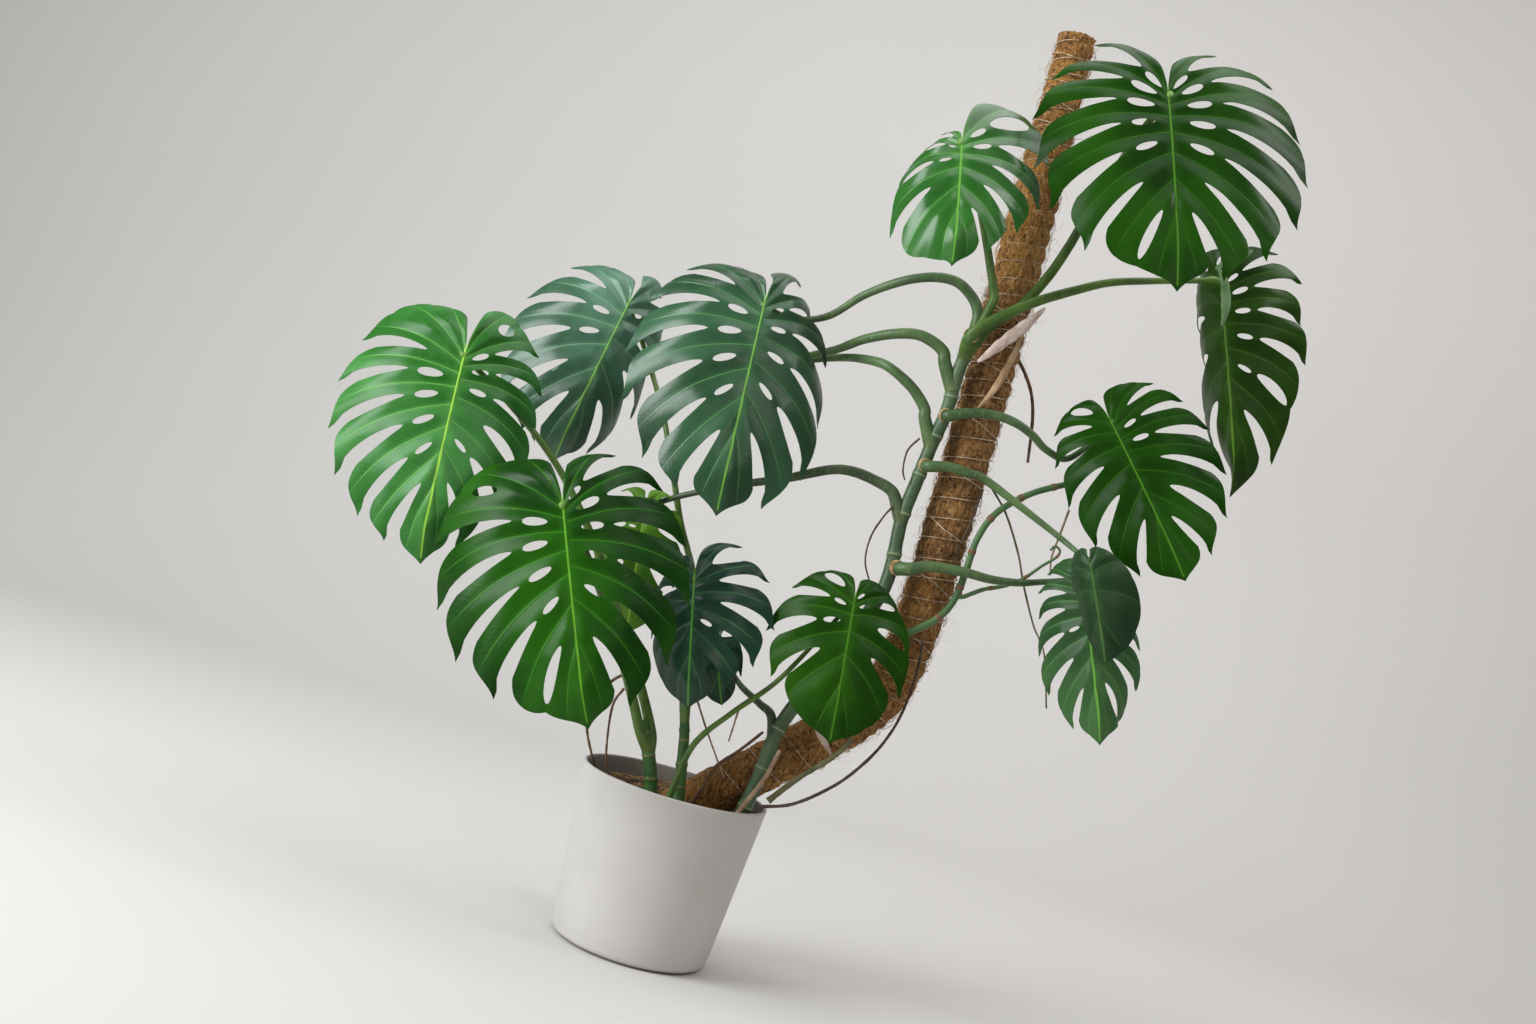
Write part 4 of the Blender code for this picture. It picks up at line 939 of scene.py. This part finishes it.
def stemFinish(name, deep, fresh, scar, spacing, gloss, scarReach=0.0022, scarShare=0.6):
    f = Finish(name, IOR=1.45)
    along = f.attribute("alongPath")
    cloud = f.noise(24.0, 3.0)
    streak = f.noise(1.0, 3.0, f.stretched(420.0, 420.0, 46.0))
    fleck = f.noise(170.0, 2.0).step(0.62, 0.72)
    edge = ((along / spacing + 0.5).fraction() - 0.5).size() * spacing
    ring = edge.step(0.0007, scarReach, 1.0, 0.0)
    body = f.mix(cloud.step(0.3, 0.7), deep, fresh)
    body = f.mix(streak.step(0.5, 0.8) * 0.25, body, scar)
    body = f.mix(fleck * 0.22, body, (0.12, 0.07, 0.03))
    colour = f.mix(ring * scarShare, body, scar)
    return f.surface(colour, gloss + cloud * 0.15, streak * 0.5 + ring * 0.6 + cloud * 0.3, 0.0006, 0.6)


def petioleFinish(name, deep, fresh):
    f = Finish(name, IOR=1.45)
    along = f.attribute("alongShare")
    cloud = f.noise(18.0, 3.0)
    streak = f.noise(1.0, 3.0, f.stretched(260.0, 260.0, 40.0))
    body = f.mix(cloud.step(0.3, 0.7), deep, fresh)
    body = f.mix(streak.step(0.48, 0.75) * 0.30, body, (0.20, 0.30, 0.10))
    body = f.mix(along.step(0.90, 0.99) * 0.55, body, (0.17, 0.36, 0.05))
    colour = f.mix(along.step(0.0, 0.07, 1.0, 0.0) * 0.35, body, (0.16, 0.16, 0.06))
    return f.surface(colour, 0.38 + cloud * 0.15, streak * 0.6 + cloud * 0.4, 0.0005, 0.5)


def rootFinish(name, deep, light):
    f = Finish(name)
    cloud = f.noise(30.0, 3.0)
    bark = f.noise(260.0, 4.0)
    ring = f.noise(1.0, 2.0, f.stretched(60.0, 60.0, 420.0))
    body = f.mix(cloud.step(0.3, 0.7), deep, light)
    colour = f.mix(bark.step(0.5, 0.75) * 0.5, body, light)
    return f.surface(colour, 0.62 + bark * 0.3, bark * 0.6 + ring * 0.7, 0.0007, 0.8)


basalFinish = stemFinish("basalStem", (0.022, 0.085, 0.016), (0.050, 0.150, 0.028), (0.28, 0.20, 0.09),
                         0.034, 0.40)
stemFinishes = {
    "stem_main": stemFinish("climbingStem", (0.036, 0.078, 0.034), (0.085, 0.150, 0.068), (0.30, 0.33, 0.18),
                            0.062, 0.40),
    "stem_left": basalFinish, "stem_centre": basalFinish}
shootFinish = stemFinish("shootStem", (0.045, 0.120, 0.038), (0.085, 0.180, 0.055), (0.17, 0.075, 0.035),
                         0.056, 0.42, 0.0060, 0.95)
petioleFinishes = {
    "blue": petioleFinish("petioleBlue", (0.034, 0.074, 0.024), (0.086, 0.160, 0.052)),
    "green": petioleFinish("petioleGreen", (0.038, 0.092, 0.012), (0.100, 0.190, 0.026)),
    "dark": petioleFinish("petioleDark", (0.026, 0.048, 0.020), (0.060, 0.095, 0.040)),
}
rootFinishes = {
    "brown": rootFinish("rootBrown", (0.070, 0.034, 0.016), (0.185, 0.100, 0.050)),
    "dark": rootFinish("rootDark", (0.035, 0.020, 0.012), (0.090, 0.055, 0.032)),
    "pale": rootFinish("rootPale", (0.210, 0.130, 0.075), (0.420, 0.300, 0.190)),
    "green": rootFinish("rootGreen", (0.070, 0.080, 0.030), (0.170, 0.160, 0.070)),
}


def growStalk(name, path, radii, finish, nodes, slot, sides=16, spacing=1.0, rise=0.0, ruffle=0.0003,
              ruffleScale=70.0):
    guide = guideCurve(name + "-guide", path, radii)
    piece = stalkGrower.grow(name, guide, Sides=sides, Knuckle_Spacing=spacing, Knuckle_Rise=rise,
                             Ruffle=ruffle, Ruffle_Scale=ruffleScale, Finish=finish)
    along = np.zeros(len(piece.data.vertices), np.float32)
    piece.data.attributes["alongPath"].data.foreach_get("value", along)
    pointValues(piece, "alongShare", along / max(along.max(), 1e-6))
    return settle(piece, slot, *nodes)


for name, spec in stemRoutes.items():
    path, length = evenRoute(spec["route"], 0.0025)
    shares = np.linspace(0, 1, len(path))
    radii = spec["radii"][0] + (spec["radii"][1] - spec["radii"][0]) * shares
    finish = stemFinishes.get(name, shootFinish)
    growStalk(name.replace("_", "-"), path, radii, finish, [name], "stem", 20, spec["spacing"], spec["rise"],
              0.0006, 55.0)
stemPaths = {name: evenRoute(spec["route"], pathStep)[0] for name, spec in stemRoutes.items()}

# every other petiole is green
petioleTints = {"03": "blue", "07": "dark", "08": "dark", "12": "blue", "13": "blue", "14": "blue"}


def petioleRadii(shares, radii, length, swelling=0.30):
    # broad where it clasps the stem, thick again in the last centimetres at the blade
    base = radii[0] + (radii[1] - radii[0]) * shares
    clasp = 0.16 * np.exp(-(shares * length / 0.045) ** 2)
    knee = swelling * np.exp(-((shares * length - length + 0.016) / 0.012) ** 2)
    return base * (1 + clasp + knee)


for key, spec in petioleRoutes.items():
    leaf = leafShapes[key]
    face = leafAxes(leaf)[2]
    midrib = leafAxes(leaf)[1]
    route = list(spec["route"])
    if spec["stem"]:
        route = rooted(route, stemPaths[spec["stem"]], 0.0 if key in ("12", "13", "14") else slant)
    if key != "11":
        route.append(Vector(leaf["base"]) - face * 0.007)
    route.append(Vector(leaf["base"]) - face * 0.0015 + midrib * 0.004)
    path, length = evenRoute(route, 0.003)
    radii = petioleRadii(np.linspace(0, 1, len(path)), spec["radii"], length)
    radii[-2:] *= np.array([0.85, 0.6])
    growStalk("petiole-" + key, path, radii, petioleFinishes[petioleTints.get(key, "green")],
              ["petiole_" + key], "petiole", 16, ruffle=0.0005, ruffleScale=40.0)

for name, spec in cutPetioles.items():
    path, length = evenRoute(rooted(spec["route"], stemPaths["stem_main"], slant), 0.003)
    radii = petioleRadii(np.linspace(0, 1, len(path)), spec["radii"], length, 0.0)
    growStalk(name.replace("_", "-"), path, radii, petioleFinishes["blue"], [name], "stem", 16,
              ruffle=0.0005, ruffleScale=40.0)

for name, spec in rootRoutes.items():
    path, length = evenRoute(spec["route"], 0.0025)
    shares = np.linspace(0, 1, len(path))
    radii = spec["radius"] * (1 - 0.25 * shares)
    for k, radius in enumerate(radii):
        radii[k] = radius * (1 + 0.16 * noise.noise(Vector((k * 0.21, length * 10, 0))))
    growStalk(name.replace("_", "-"), path, radii, rootFinishes[spec["tint"]], [name], "root", 9,
              0.019, 0.12, 0.0004, 180.0)
print("stems, petioles and roots grown")


pole = dict(route=mm((-50, 0, 155), (41, 0, 241), (125, 0, 321), (205, 0, 397), (257, 0, 465),
                     (277, 0, 560), (281, 0, 690), (278, 0, 930), (270, 0, 1200), (260, 0, 1495)),
            radius=0.0362, topRadius=0.0290, taperLength=0.30, sides=72, ringGap=0.005, pinch=0.0030,
            pinchReach=0.0048)
polePath, poleLength = evenRoute(pole["route"], pole["ringGap"])
poleFrames = routeFrames(polePath)


def poleRadius(length):
    # the top narrows a little and the foot is bound tighter
    top = max(0.0, (length - (poleLength - pole["taperLength"])) / pole["taperLength"])
    return pole["radius"] + (pole["topRadius"] - pole["radius"]) * (top * top * (3 - 2 * top))


def coirFinish():
    f = Finish("coir")
    along = f.attribute("alongPole")
    strands = f.noise(1.0, 4.0, f.stretched(260.0, 260.0, 60.0), 0.7)
    cross = f.noise(150.0, 5.0)
    patch = f.noise(14.0, 4.0)
    # the middle of the pole, from 0.32 to 0.80 of its length, is painted browner and darker
    darkMiddle = along.step(0.32, 0.50) * along.step(0.80, 0.68)
    gold = f.mix(patch.step(0.35, 0.7), (0.240, 0.096, 0.014), (0.480, 0.225, 0.045))
    brown = f.mix(patch.step(0.35, 0.7), (0.130, 0.054, 0.013), (0.290, 0.135, 0.038))
    body = f.mix(darkMiddle * 0.75, gold, brown)
    body = f.mix(strands.step(0.48, 0.66) * 0.60, body, (0.700, 0.430, 0.170))
    # painted shade: the hollows of the bump, where the cross noise is low, are painted near black
    colour = f.mix(cross.step(0.34, 0.50, 1.0, 0.0) * 0.80, body, (0.040, 0.016, 0.005))
    return f.surface(colour, 0.92, strands + cross * 1.2, 0.007, 1.0)


def fibreFinish(name, deep, light):
    f = Finish(name)
    tone = f.noise(95.0, 2.0)
    fine = f.noise(900.0, 2.0)
    return f.surface(f.mix(tone.step(0.35, 0.68), deep, light), 0.8 + fine * 0.15, fine, 0.0002, 0.4)


coir = coirFinish()
goldFibre = fibreFinish("coirFibre", (0.270, 0.120, 0.026), (0.700, 0.410, 0.150))
darkFibre = fibreFinish("coirFibreDark", (0.140, 0.066, 0.026), (0.440, 0.250, 0.110))
twineLook = fibreFinish("twineJute", (0.340, 0.240, 0.140), (0.640, 0.520, 0.370))
tanFibre = fibreFinish("nodeFibre", (0.300, 0.170, 0.075), (0.560, 0.380, 0.200))


# start, end and pitch of the runs that cinch the sleeve
boundRuns = [(0.16, 0.40, 0.052), (0.40, 0.90, 0.031), (0.90, poleLength - 0.010, 0.026)]


def makePoleSkin():
    points, marks = [], []
    count = len(poleFrames)
    for k, (point, tangent, normal, cross) in enumerate(poleFrames):
        length = poleLength * k / (count - 1)
        for angle in turnAngles(pole["sides"]):
            out = normal * math.cos(angle) + cross * math.sin(angle)
            spot = Vector((math.cos(angle) * 3.2, math.sin(angle) * 3.2, length * 16))
            lump = noise.noise(spot) * 0.0014
            clump = Vector((math.cos(angle) * 5.5, math.sin(angle) * 5.5, length * 120))
            lump += noise.noise(clump) * 0.0016 + noise.noise(clump * 2.3) * 0.0009
            pinch = 0.0
            for start, end, pitch in boundRuns:
                phase = ((length - start) / pitch - angle / math.tau) % 1.0
                if start - 0.5 * pitch < length < end + 0.5 * pitch:
                    near = math.exp(-(min(phase, 1 - phase) * pitch / pole["pinchReach"]) ** 2)
                    pinch = max(pinch, near * pole["pinch"])
            points.append(point + out * (poleRadius(length) + lump - pinch - 0.0006))
            marks.append(length / poleLength)
    sides = pole["sides"]
    faces = ringFaces(count, sides)
    # rough ends: rings that step in and down to a dark core
    for start, direction, order in ((0, -1, 1), (count - 1, 1, -1)):
        point, tangent, normal, cross = poleFrames[start]
        previous = [start * sides + i for i in range(sides)]
        for shrink, dip in ((0.86, -0.002), (0.60, 0.003), (0.42, 0.012)):
            ring = []
            for i, angle in enumerate(turnAngles(sides)):
                out = normal * math.cos(angle) + cross * math.sin(angle)
                rough = noise.noise(Vector((i * 0.7, shrink * 20, start))) * 0.003
                ring.append(len(points))
                points.append(point + out * poleRadius(poleLength * (start > 0)) * shrink
                              - tangent * direction * (dip + rough))
                marks.append(float(start > 0))
            for i in range(sides):
                a, b = previous[i], previous[(i + 1) % sides]
                c, d = ring[(i + 1) % sides], ring[i]
                faces.append((a, b, c, d) if order < 0 else (d, c, b, a))
            previous = ring
        faces.append(tuple(previous) if order < 0 else tuple(reversed(previous)))
    skin = meshOf("pole-sleeve", points, faces, coir, 80)
    pointValues(skin, "alongPole", marks)
    return skin


def poleBand(low, high, name):
    # a plain strip of the sleeve's surface for the fibres to stand on
    points, sides = [], 24
    chosen = [k for k in range(len(poleFrames)) if low <= k / (len(poleFrames) - 1) <= high][::3]
    for k in chosen:
        point, _, normal, cross = poleFrames[k]
        radius = poleRadius(poleLength * k / (len(poleFrames) - 1)) - 0.0008
        points += [point + (normal * math.cos(a) + cross * math.sin(a)) * radius for a in turnAngles(sides)]
    return meshOf(name, points, ringFaces(len(chosen), sides), coir)


settle(makePoleSkin(), "coir", "pole_coir")
# each stretch has a matted layer and a sparser one of stray fibres
fibreBands = [("fibres-foot", 0.16, 0.42, goldFibre, 3), ("fibres-middle", 0.40, 0.74, darkFibre, 4),
              ("fibres-top", 0.72, 1.0, goldFibre, 5)]
fibreLayers = [
    ("", dict(Density=11000.0, Length=0.017, Bow=0.0026, Tilt=0.14, Thickness=0.00030), 0),
    ("-stray", dict(Density=2600.0, Length=0.022, Bow=0.005, Tilt=0.75, Thickness=0.00016), 20)]
for name, low, high, finish, seed in fibreBands:
    for layer, sizes, salt in fibreLayers:
        band = poleBand(low, high, name + layer + "-band")
        settle(fibreGrower.grow(name + layer, band, Seed=seed + salt, Finish=finish, **sizes), "coir")

# start, end and pitch of each run, turning both ways, closer together on the upper pole
looseRuns = [(0.50, 1.10, -0.083), (poleLength - 0.16, poleLength - 0.02, -0.034)]
for number, (start, end, pitch) in enumerate(boundRuns + looseRuns, 1):
    bound = pitch > 0
    guide = guideCurve("twine-guide", polePath, [1.0] * len(polePath))
    proud = -0.0002 + 0.0014 * (not bound)
    run = twineGrower.grow(f"twine-{number}", guide, Start=start, End=end, Pitch=pitch,
                           Reach=poleRadius(start) + proud, Reach_At_End=poleRadius(end) + proud,
                           Thickness=0.0008, Wander=0.002 if bound else 0.006, Seed=2.0 * number + 1,
                           Finish=twineLook)
    settle(run, "twine", *(["pole_twine"] if number == 1 else []))
print("pole bound")


# tan fibre wound round the petioles where they leave the stem, and dry sheaths
collars = {"12": (0.010, 0.018), "13": (0.008, 0.016), "14": (0.008, 0.017), "11": (0.018, 0.024),
           "03": (0.004, 0.009)}
for key, (start, end) in collars.items():
    spec = petioleRoutes[key]
    path, _ = evenRoute(rooted(spec["route"], stemPaths["stem_main"], 0.0), 0.003)
    guide = guideCurve("collar-guide", path, [1.0] * len(path))
    reach = spec["radii"][0] * 1.16
    ring = twineGrower.grow("collar-" + key, guide, Start=start, End=end, Pitch=0.0018, Reach=reach,
                            Reach_At_End=reach * 0.99, Thickness=0.0008, Wander=0.0014, Seed=float(key),
                            Finish=tanFibre)
    settle(ring, "twine")

sheathShapes = {
    "sheath_top": dict(route=mm((246, -86, 978), (252, -89, 985), (270, -91, 1010), (292, -92, 1040),
        (308, -91, 1064), (318, -86, 1080)), width=0.0085, look="pink", cup=0.35),
    "sheath_tail": dict(route=mm((303, -47, 1045), (297, -46, 1000), (288, -47, 960), (277, -48, 932),
        (268, -47, 912)), width=0.0052, look="tan", cup=0.3),
    "sheath_low": dict(route=mm((162, -30, 412), (176, -42, 399), (192, -47, 383), (209, -42, 366)),
        width=0.0052, look="pink", cup=0.1),
}


def sheathFinish(name, deep, light):
    f = Finish(name)
    grain = f.noise(1.0, 3.0, f.stretched(300.0, 300.0, 60.0))
    cloud = f.noise(40.0, 3.0)
    spots = f.noise(120.0, 2.0).step(0.58, 0.72)
    colour = f.mix(cloud.step(0.3, 0.7), deep, light)
    colour = f.mix(spots * 0.35, colour, (0.20, 0.10, 0.05))
    return f.surface(colour, 0.72 + grain * 0.15, grain + cloud * 0.4, 0.0008, 0.7)


sheathFinishes = {"pink": sheathFinish("dryPink", (0.42, 0.30, 0.24), (0.68, 0.58, 0.52)),
                  "tan": sheathFinish("dryTan", (0.30, 0.18, 0.09), (0.50, 0.34, 0.19)),
                  "flap": sheathFinish("paleFlap", (0.10, 0.20, 0.08), (0.20, 0.33, 0.16))}


def makeSheath(name, spec):
    # a thin cupped strip whose edges curl, pointed at both ends; returned with a live thickness
    path, _ = evenRoute(spec["route"], 0.002)
    frames = routeFrames(path)
    columns = 13
    sheet = []
    for k, (point, _, normal, cross) in enumerate(frames):
        share = k / (len(frames) - 1)
        width = spec["width"] * (0.06 + 0.94 * math.sin(math.pi * (0.02 + 0.96 * share)) ** 0.75)
        width *= 1 + 0.22 * noise.noise(Vector((share * 9, 1.7, 6)))
        for i in range(columns):
            side = i / (columns - 1) * 2 - 1
            ripple = 0.0006 * noise.noise(Vector((share * 7, side * 2.2, 3)))
            lift = spec["cup"] * width * side * side
            sheet.append(point + cross * width * side - normal * (ripple * 2 - lift))
    faces = [(a, a + 1, a + columns + 1, a + columns) for k in range(len(frames) - 1)
             for a in range(k * columns, k * columns + columns - 1)]
    strip = meshOf(name.replace("_", "-"), sheet, faces, sheathFinishes[spec["look"]], 60)
    thick = strip.modifiers.new("thickness", "SOLIDIFY")
    thick.thickness = 0.0007
    thick.offset = 0.0
    return strip


for name, spec in sheathShapes.items():
    settle(makeSheath(name, spec), "sheath", name)

# two folded flaps of blade where leaf 11 meets its petiole
flapShapes = {
    "flap-upper": dict(route=mm((546, -50, 1212), (568, -56, 1234), (590, -56, 1252)), width=0.0075,
        look="flap", cup=0.5),
    "flap-lower": dict(route=mm((549, -50, 1216), (562, -56, 1199), (574, -58, 1167), (578, -56, 1133)),
        width=0.0070, look="flap", cup=0.5),
}
for name, spec in flapShapes.items():
    settle(makeSheath(name, spec), "leaf_deep")


pot = dict(height=0.255, topRadius=0.1425, baseRadius=0.119, wall=0.0062, floor=0.009, corner=0.013,
           footRecess=0.0022, segments=160)
pot["slope"] = (pot["topRadius"] - pot["baseRadius"]) / pot["height"]
soil = dict(top=0.234, bottom=0.06, rings=34, segments=96)


def circle(radius, height, segments):
    return [(radius * math.cos(a), radius * math.sin(a), height) for a in turnAngles(segments)]


def lathe(profile, segments):
    points = [point for radius, height in profile for point in circle(radius, height, segments)]
    faces = ringFaces(len(profile), segments)
    faces.append(tuple(reversed(range(segments))))
    faces.append(tuple(range((len(profile) - 1) * segments, len(profile) * segments)))
    return points, faces


def makePot():
    slope, base, corner, rim = pot["slope"], pot["baseRadius"], pot["corner"], pot["wall"] / 2
    profile = [(base - corner - 0.030, pot["footRecess"]), (base - corner - 0.006, pot["footRecess"]),
               (base - corner - 0.002, 0.0)]
    for a in np.linspace(0, math.pi / 2, 9):
        profile.append((base - corner + corner * math.sin(a), corner - corner * math.cos(a)))
    for share in np.linspace(0.08, 0.98, 24):
        height = pot["height"] * share
        profile.append((base + slope * height, height))
    middle = pot["topRadius"] - rim
    for a in np.linspace(0, math.pi, 9):
        profile.append((middle + rim * math.cos(a), pot["height"] - rim + rim * math.sin(a)))
    profile += [(base + slope * h - pot["wall"], h) for h in (0.246, 0.235, 0.22, 0.12, pot["floor"])]
    profile.append((0.03, pot["floor"]))
    points, faces = lathe(profile, pot["segments"])
    f = Finish("glazedPot", Coat_Roughness=0.35, IOR=1.5)
    x, y, z = f.parts(f.place)
    reach = f.vector("LENGTH", f.combine(x, y, 0.0))
    # painted shade: the pot's inner wall is painted dark brown-grey for the shade inside the pot
    paintedInnerShade = (reach - (base + slope * z - pot["wall"] * 0.5)).step(-0.0012, 0.0002, 1.0, 0.0)
    cloud = f.noise(5.0, 3.0)
    speck = f.noise(420.0, 2.0)
    brushed = f.noise(1.0, 3.0, f.stretched(26.0, 26.0, 420.0))
    colour = f.mix(cloud.step(0.3, 0.7), (0.500, 0.480, 0.450), (0.550, 0.530, 0.500))
    colour = f.mix(speck.step(0.60, 0.75) * 0.10, colour, (0.36, 0.33, 0.29))
    colour = f.mix(brushed.step(0.5, 0.8) * 0.10, colour, (0.43, 0.405, 0.37))
    colour = f.mix(paintedInnerShade * 0.85, colour, (0.16, 0.14, 0.12))
    finish = f.surface(colour, 0.40 + cloud * 0.12 + speck * 0.06, speck * 0.4 + brushed * 0.5, 0.0004, 0.35)
    return settle(meshOf("planter", points, faces, finish, 60), "ceramic", "pot")


def makeSoil():
    edge = pot["baseRadius"] + pot["slope"] * soil["top"] - pot["wall"] - 0.0004
    rings, segments = soil["rings"], soil["segments"]
    points = [(0, 0, soil["top"])]
    for r in range(1, rings + 1):
        for x, y, _ in circle(edge * r / rings, 0, segments):
            lump = noise.noise(Vector((x * 45, y * 45, 1))) * 0.0042
            lump += noise.noise(Vector((x * 160, y * 160, 5))) * 0.0018
            points.append((x, y, soil["top"] - 0.003 + lump - 0.006 * (r / rings) ** 6))
    faces = [(0, 1 + i, 1 + (i + 1) % segments) for i in range(segments)]
    low = len(points)
    bottom = pot["baseRadius"] + pot["slope"] * soil["bottom"] - pot["wall"] - 0.0006
    points += circle(bottom, soil["bottom"], segments)
    faces += ringFaces(rings + 1, segments, 1, True)
    faces.append(tuple(low + i for i in reversed(range(segments))))
    f = Finish("pottingSoil")
    cloud, grit, crumb = f.noise(22.0, 3.0), f.noise(330.0, 4.0), f.noise(95.0, 4.0)
    colour = f.mix(cloud.step(0.3, 0.7), (0.022, 0.013, 0.008), (0.060, 0.036, 0.020))
    colour = f.mix(grit.step(0.55, 0.75) * 0.6, colour, (0.130, 0.080, 0.045))
    finish = f.surface(colour, 0.9 + grit * 0.1, grit + crumb * 1.5, 0.003, 0.9)
    return settle(meshOf("soil-bed", points, faces, finish, 80), "soil", "soil")


def soilTopSheet(name):
    # a shallow cone over the soil, for chips and fibres to lie on
    sides = 40
    points = [(0, 0, soil["top"] - 0.001)] + circle(pot["topRadius"] - 0.020, soil["top"] - 0.003, sides)
    return meshOf(name, points, [(0, 1 + i, 1 + (i + 1) % sides) for i in range(sides)], mulchDark)


def mulchFinish(name, deep, light):
    f = Finish(name)
    tone, grain = f.noise(60.0, 2.0), f.noise(1.0, 3.0, f.stretched(200.0, 700.0, 300.0))
    return f.surface(f.mix(tone.step(0.35, 0.65), deep, light), 0.85 + grain * 0.1, grain, 0.001, 0.8)


mulchDark = mulchFinish("barkDark", (0.030, 0.016, 0.010), (0.110, 0.060, 0.032))
mulchLight = mulchFinish("barkLight", (0.130, 0.072, 0.036), (0.300, 0.190, 0.110))
makePot()
makeSoil()
for name, density, size, seed, finish in (("bark-chips", 5200.0, 0.0050, 11, mulchDark),
                                          ("bark-slivers", 1500.0, 0.0042, 12, mulchLight),
                                          ("soil-crumbs", 15000.0, 0.0018, 13, mulchDark)):
    settle(chipGrower.grow(name, soilTopSheet(name + "-base"), Density=density, Seed=seed, Size=size,
                           Flatness=0.5, Finish=finish), "soil")
settle(fibreGrower.grow("soil-fibres", soilTopSheet("soil-fibres-base"), Density=5200.0, Seed=14,
                        Length=0.030, Bow=0.0022, Tilt=0.10, Thickness=0.00030, Finish=goldFibre), "soil")

# the stake inside the sleeve keeps its frame shape
stakeGrain = Finish("stakeWood")
grainLines = stakeGrain.noise(1.0, 4.0, stakeGrain.stretched(180.0, 180.0, 12.0))
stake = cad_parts["pole_stake"]
stake.data.materials.clear()
woodTone = stakeGrain.mix(grainLines, (0.22, 0.13, 0.06), (0.46, 0.31, 0.17))
stake.data.materials.append(stakeGrain.surface(woodTone, 0.6 + grainLines * 0.2, grainLines, 0.0006, 0.6))
print("pot, soil and stake ready")


studio = dict(roll=16.5, lens=41.0, eye=(0.017, -2.62, 0.683), floorFront=-7.0, floorBack=1.6, bend=1.4,
              wallTop=7.0, halfWidth=9.0)
lamps = {
    "windowSide": dict(place=(-2.6, -1.5, 1.7), target=(0, 0, 0.8), size=(1.5, 2.2), power=125,
                       colour=(0.96, 0.985, 1.0)),
    "frontFill": dict(place=(1.6, -3.0, 2.4), target=(0, 0, 0.7), size=(1.6, 1.6), power=16,
                      colour=(1.0, 0.93, 0.85)),
    "wallWash": dict(place=(1.9, -0.2, 2.9), target=(1.6, 3.0, 1.0), size=(1.2, 1.2), power=42,
                     colour=(1.0, 0.98, 0.97)),
    "topSoft": dict(place=(0.2, 0.2, 3.4), target=(0, 0, 0), size=(2.6, 2.6), power=45,
                    colour=(1.0, 1.0, 1.0)),
}


def makeStage():
    f = Finish("paperSweep")
    colour = f.mix(f.noise(0.8, 2.0), (0.60, 0.585, 0.56), (0.64, 0.625, 0.605))
    back, bend = studio["floorBack"], studio["bend"]
    profile = [(studio["floorFront"], 0.0), (back, 0.0)]
    profile += [(back + bend * math.sin(a), bend - bend * math.cos(a))
                for a in np.linspace(0, math.pi / 2, 24)[1:]]
    profile += [(back + bend, studio["wallTop"])]
    points = [(x, y, z) for x in (-studio["halfWidth"], studio["halfWidth"]) for y, z in profile]
    count = len(profile)
    faces = [(i, i + count, i + count + 1, i + 1) for i in range(count - 1)]
    meshOf("sweep", points, faces, f.surface(colour, 0.8), 60)


def makeLamp(name, spec):
    light = bpy.data.lights.new(name, "AREA")
    light.shape = "RECTANGLE"
    light.size, light.size_y = spec["size"]
    light.energy, light.color = spec["power"], spec["colour"]
    lamp = linked(name, light)
    lamp.location = spec["place"]
    aim = Vector(spec["target"]) - Vector(spec["place"])
    lamp.rotation_euler = aim.to_track_quat("-Z", "Y").to_euler()


def makeCamera():
    camera = bpy.data.cameras.new("viewpoint")
    camera.lens = studio["lens"]
    camera.clip_start, camera.clip_end = 0.05, 60
    obj = linked("viewpoint", camera)
    t = math.radians(studio["roll"])
    right, up, back = (math.cos(t), 0, math.sin(t)), (-math.sin(t), 0, math.cos(t)), (0, -1, 0)
    obj.matrix_world = Matrix.Translation(studio["eye"]) @ Matrix((right, up, back)).transposed().to_4x4()
    bpy.context.scene.camera = obj


makeStage()
for name, spec in lamps.items():
    makeLamp(name, spec)
world = bpy.data.worlds.new("roomLight")
world.use_nodes = True
background = world.node_tree.nodes["Background"].inputs
background["Color"].default_value = (0.86, 0.87, 0.90, 1.0)
background["Strength"].default_value = 0.27
bpy.context.scene.world = world
bpy.context.scene.view_settings.view_transform = "Standard"
makeCamera()
print("stage, lights and camera placed")
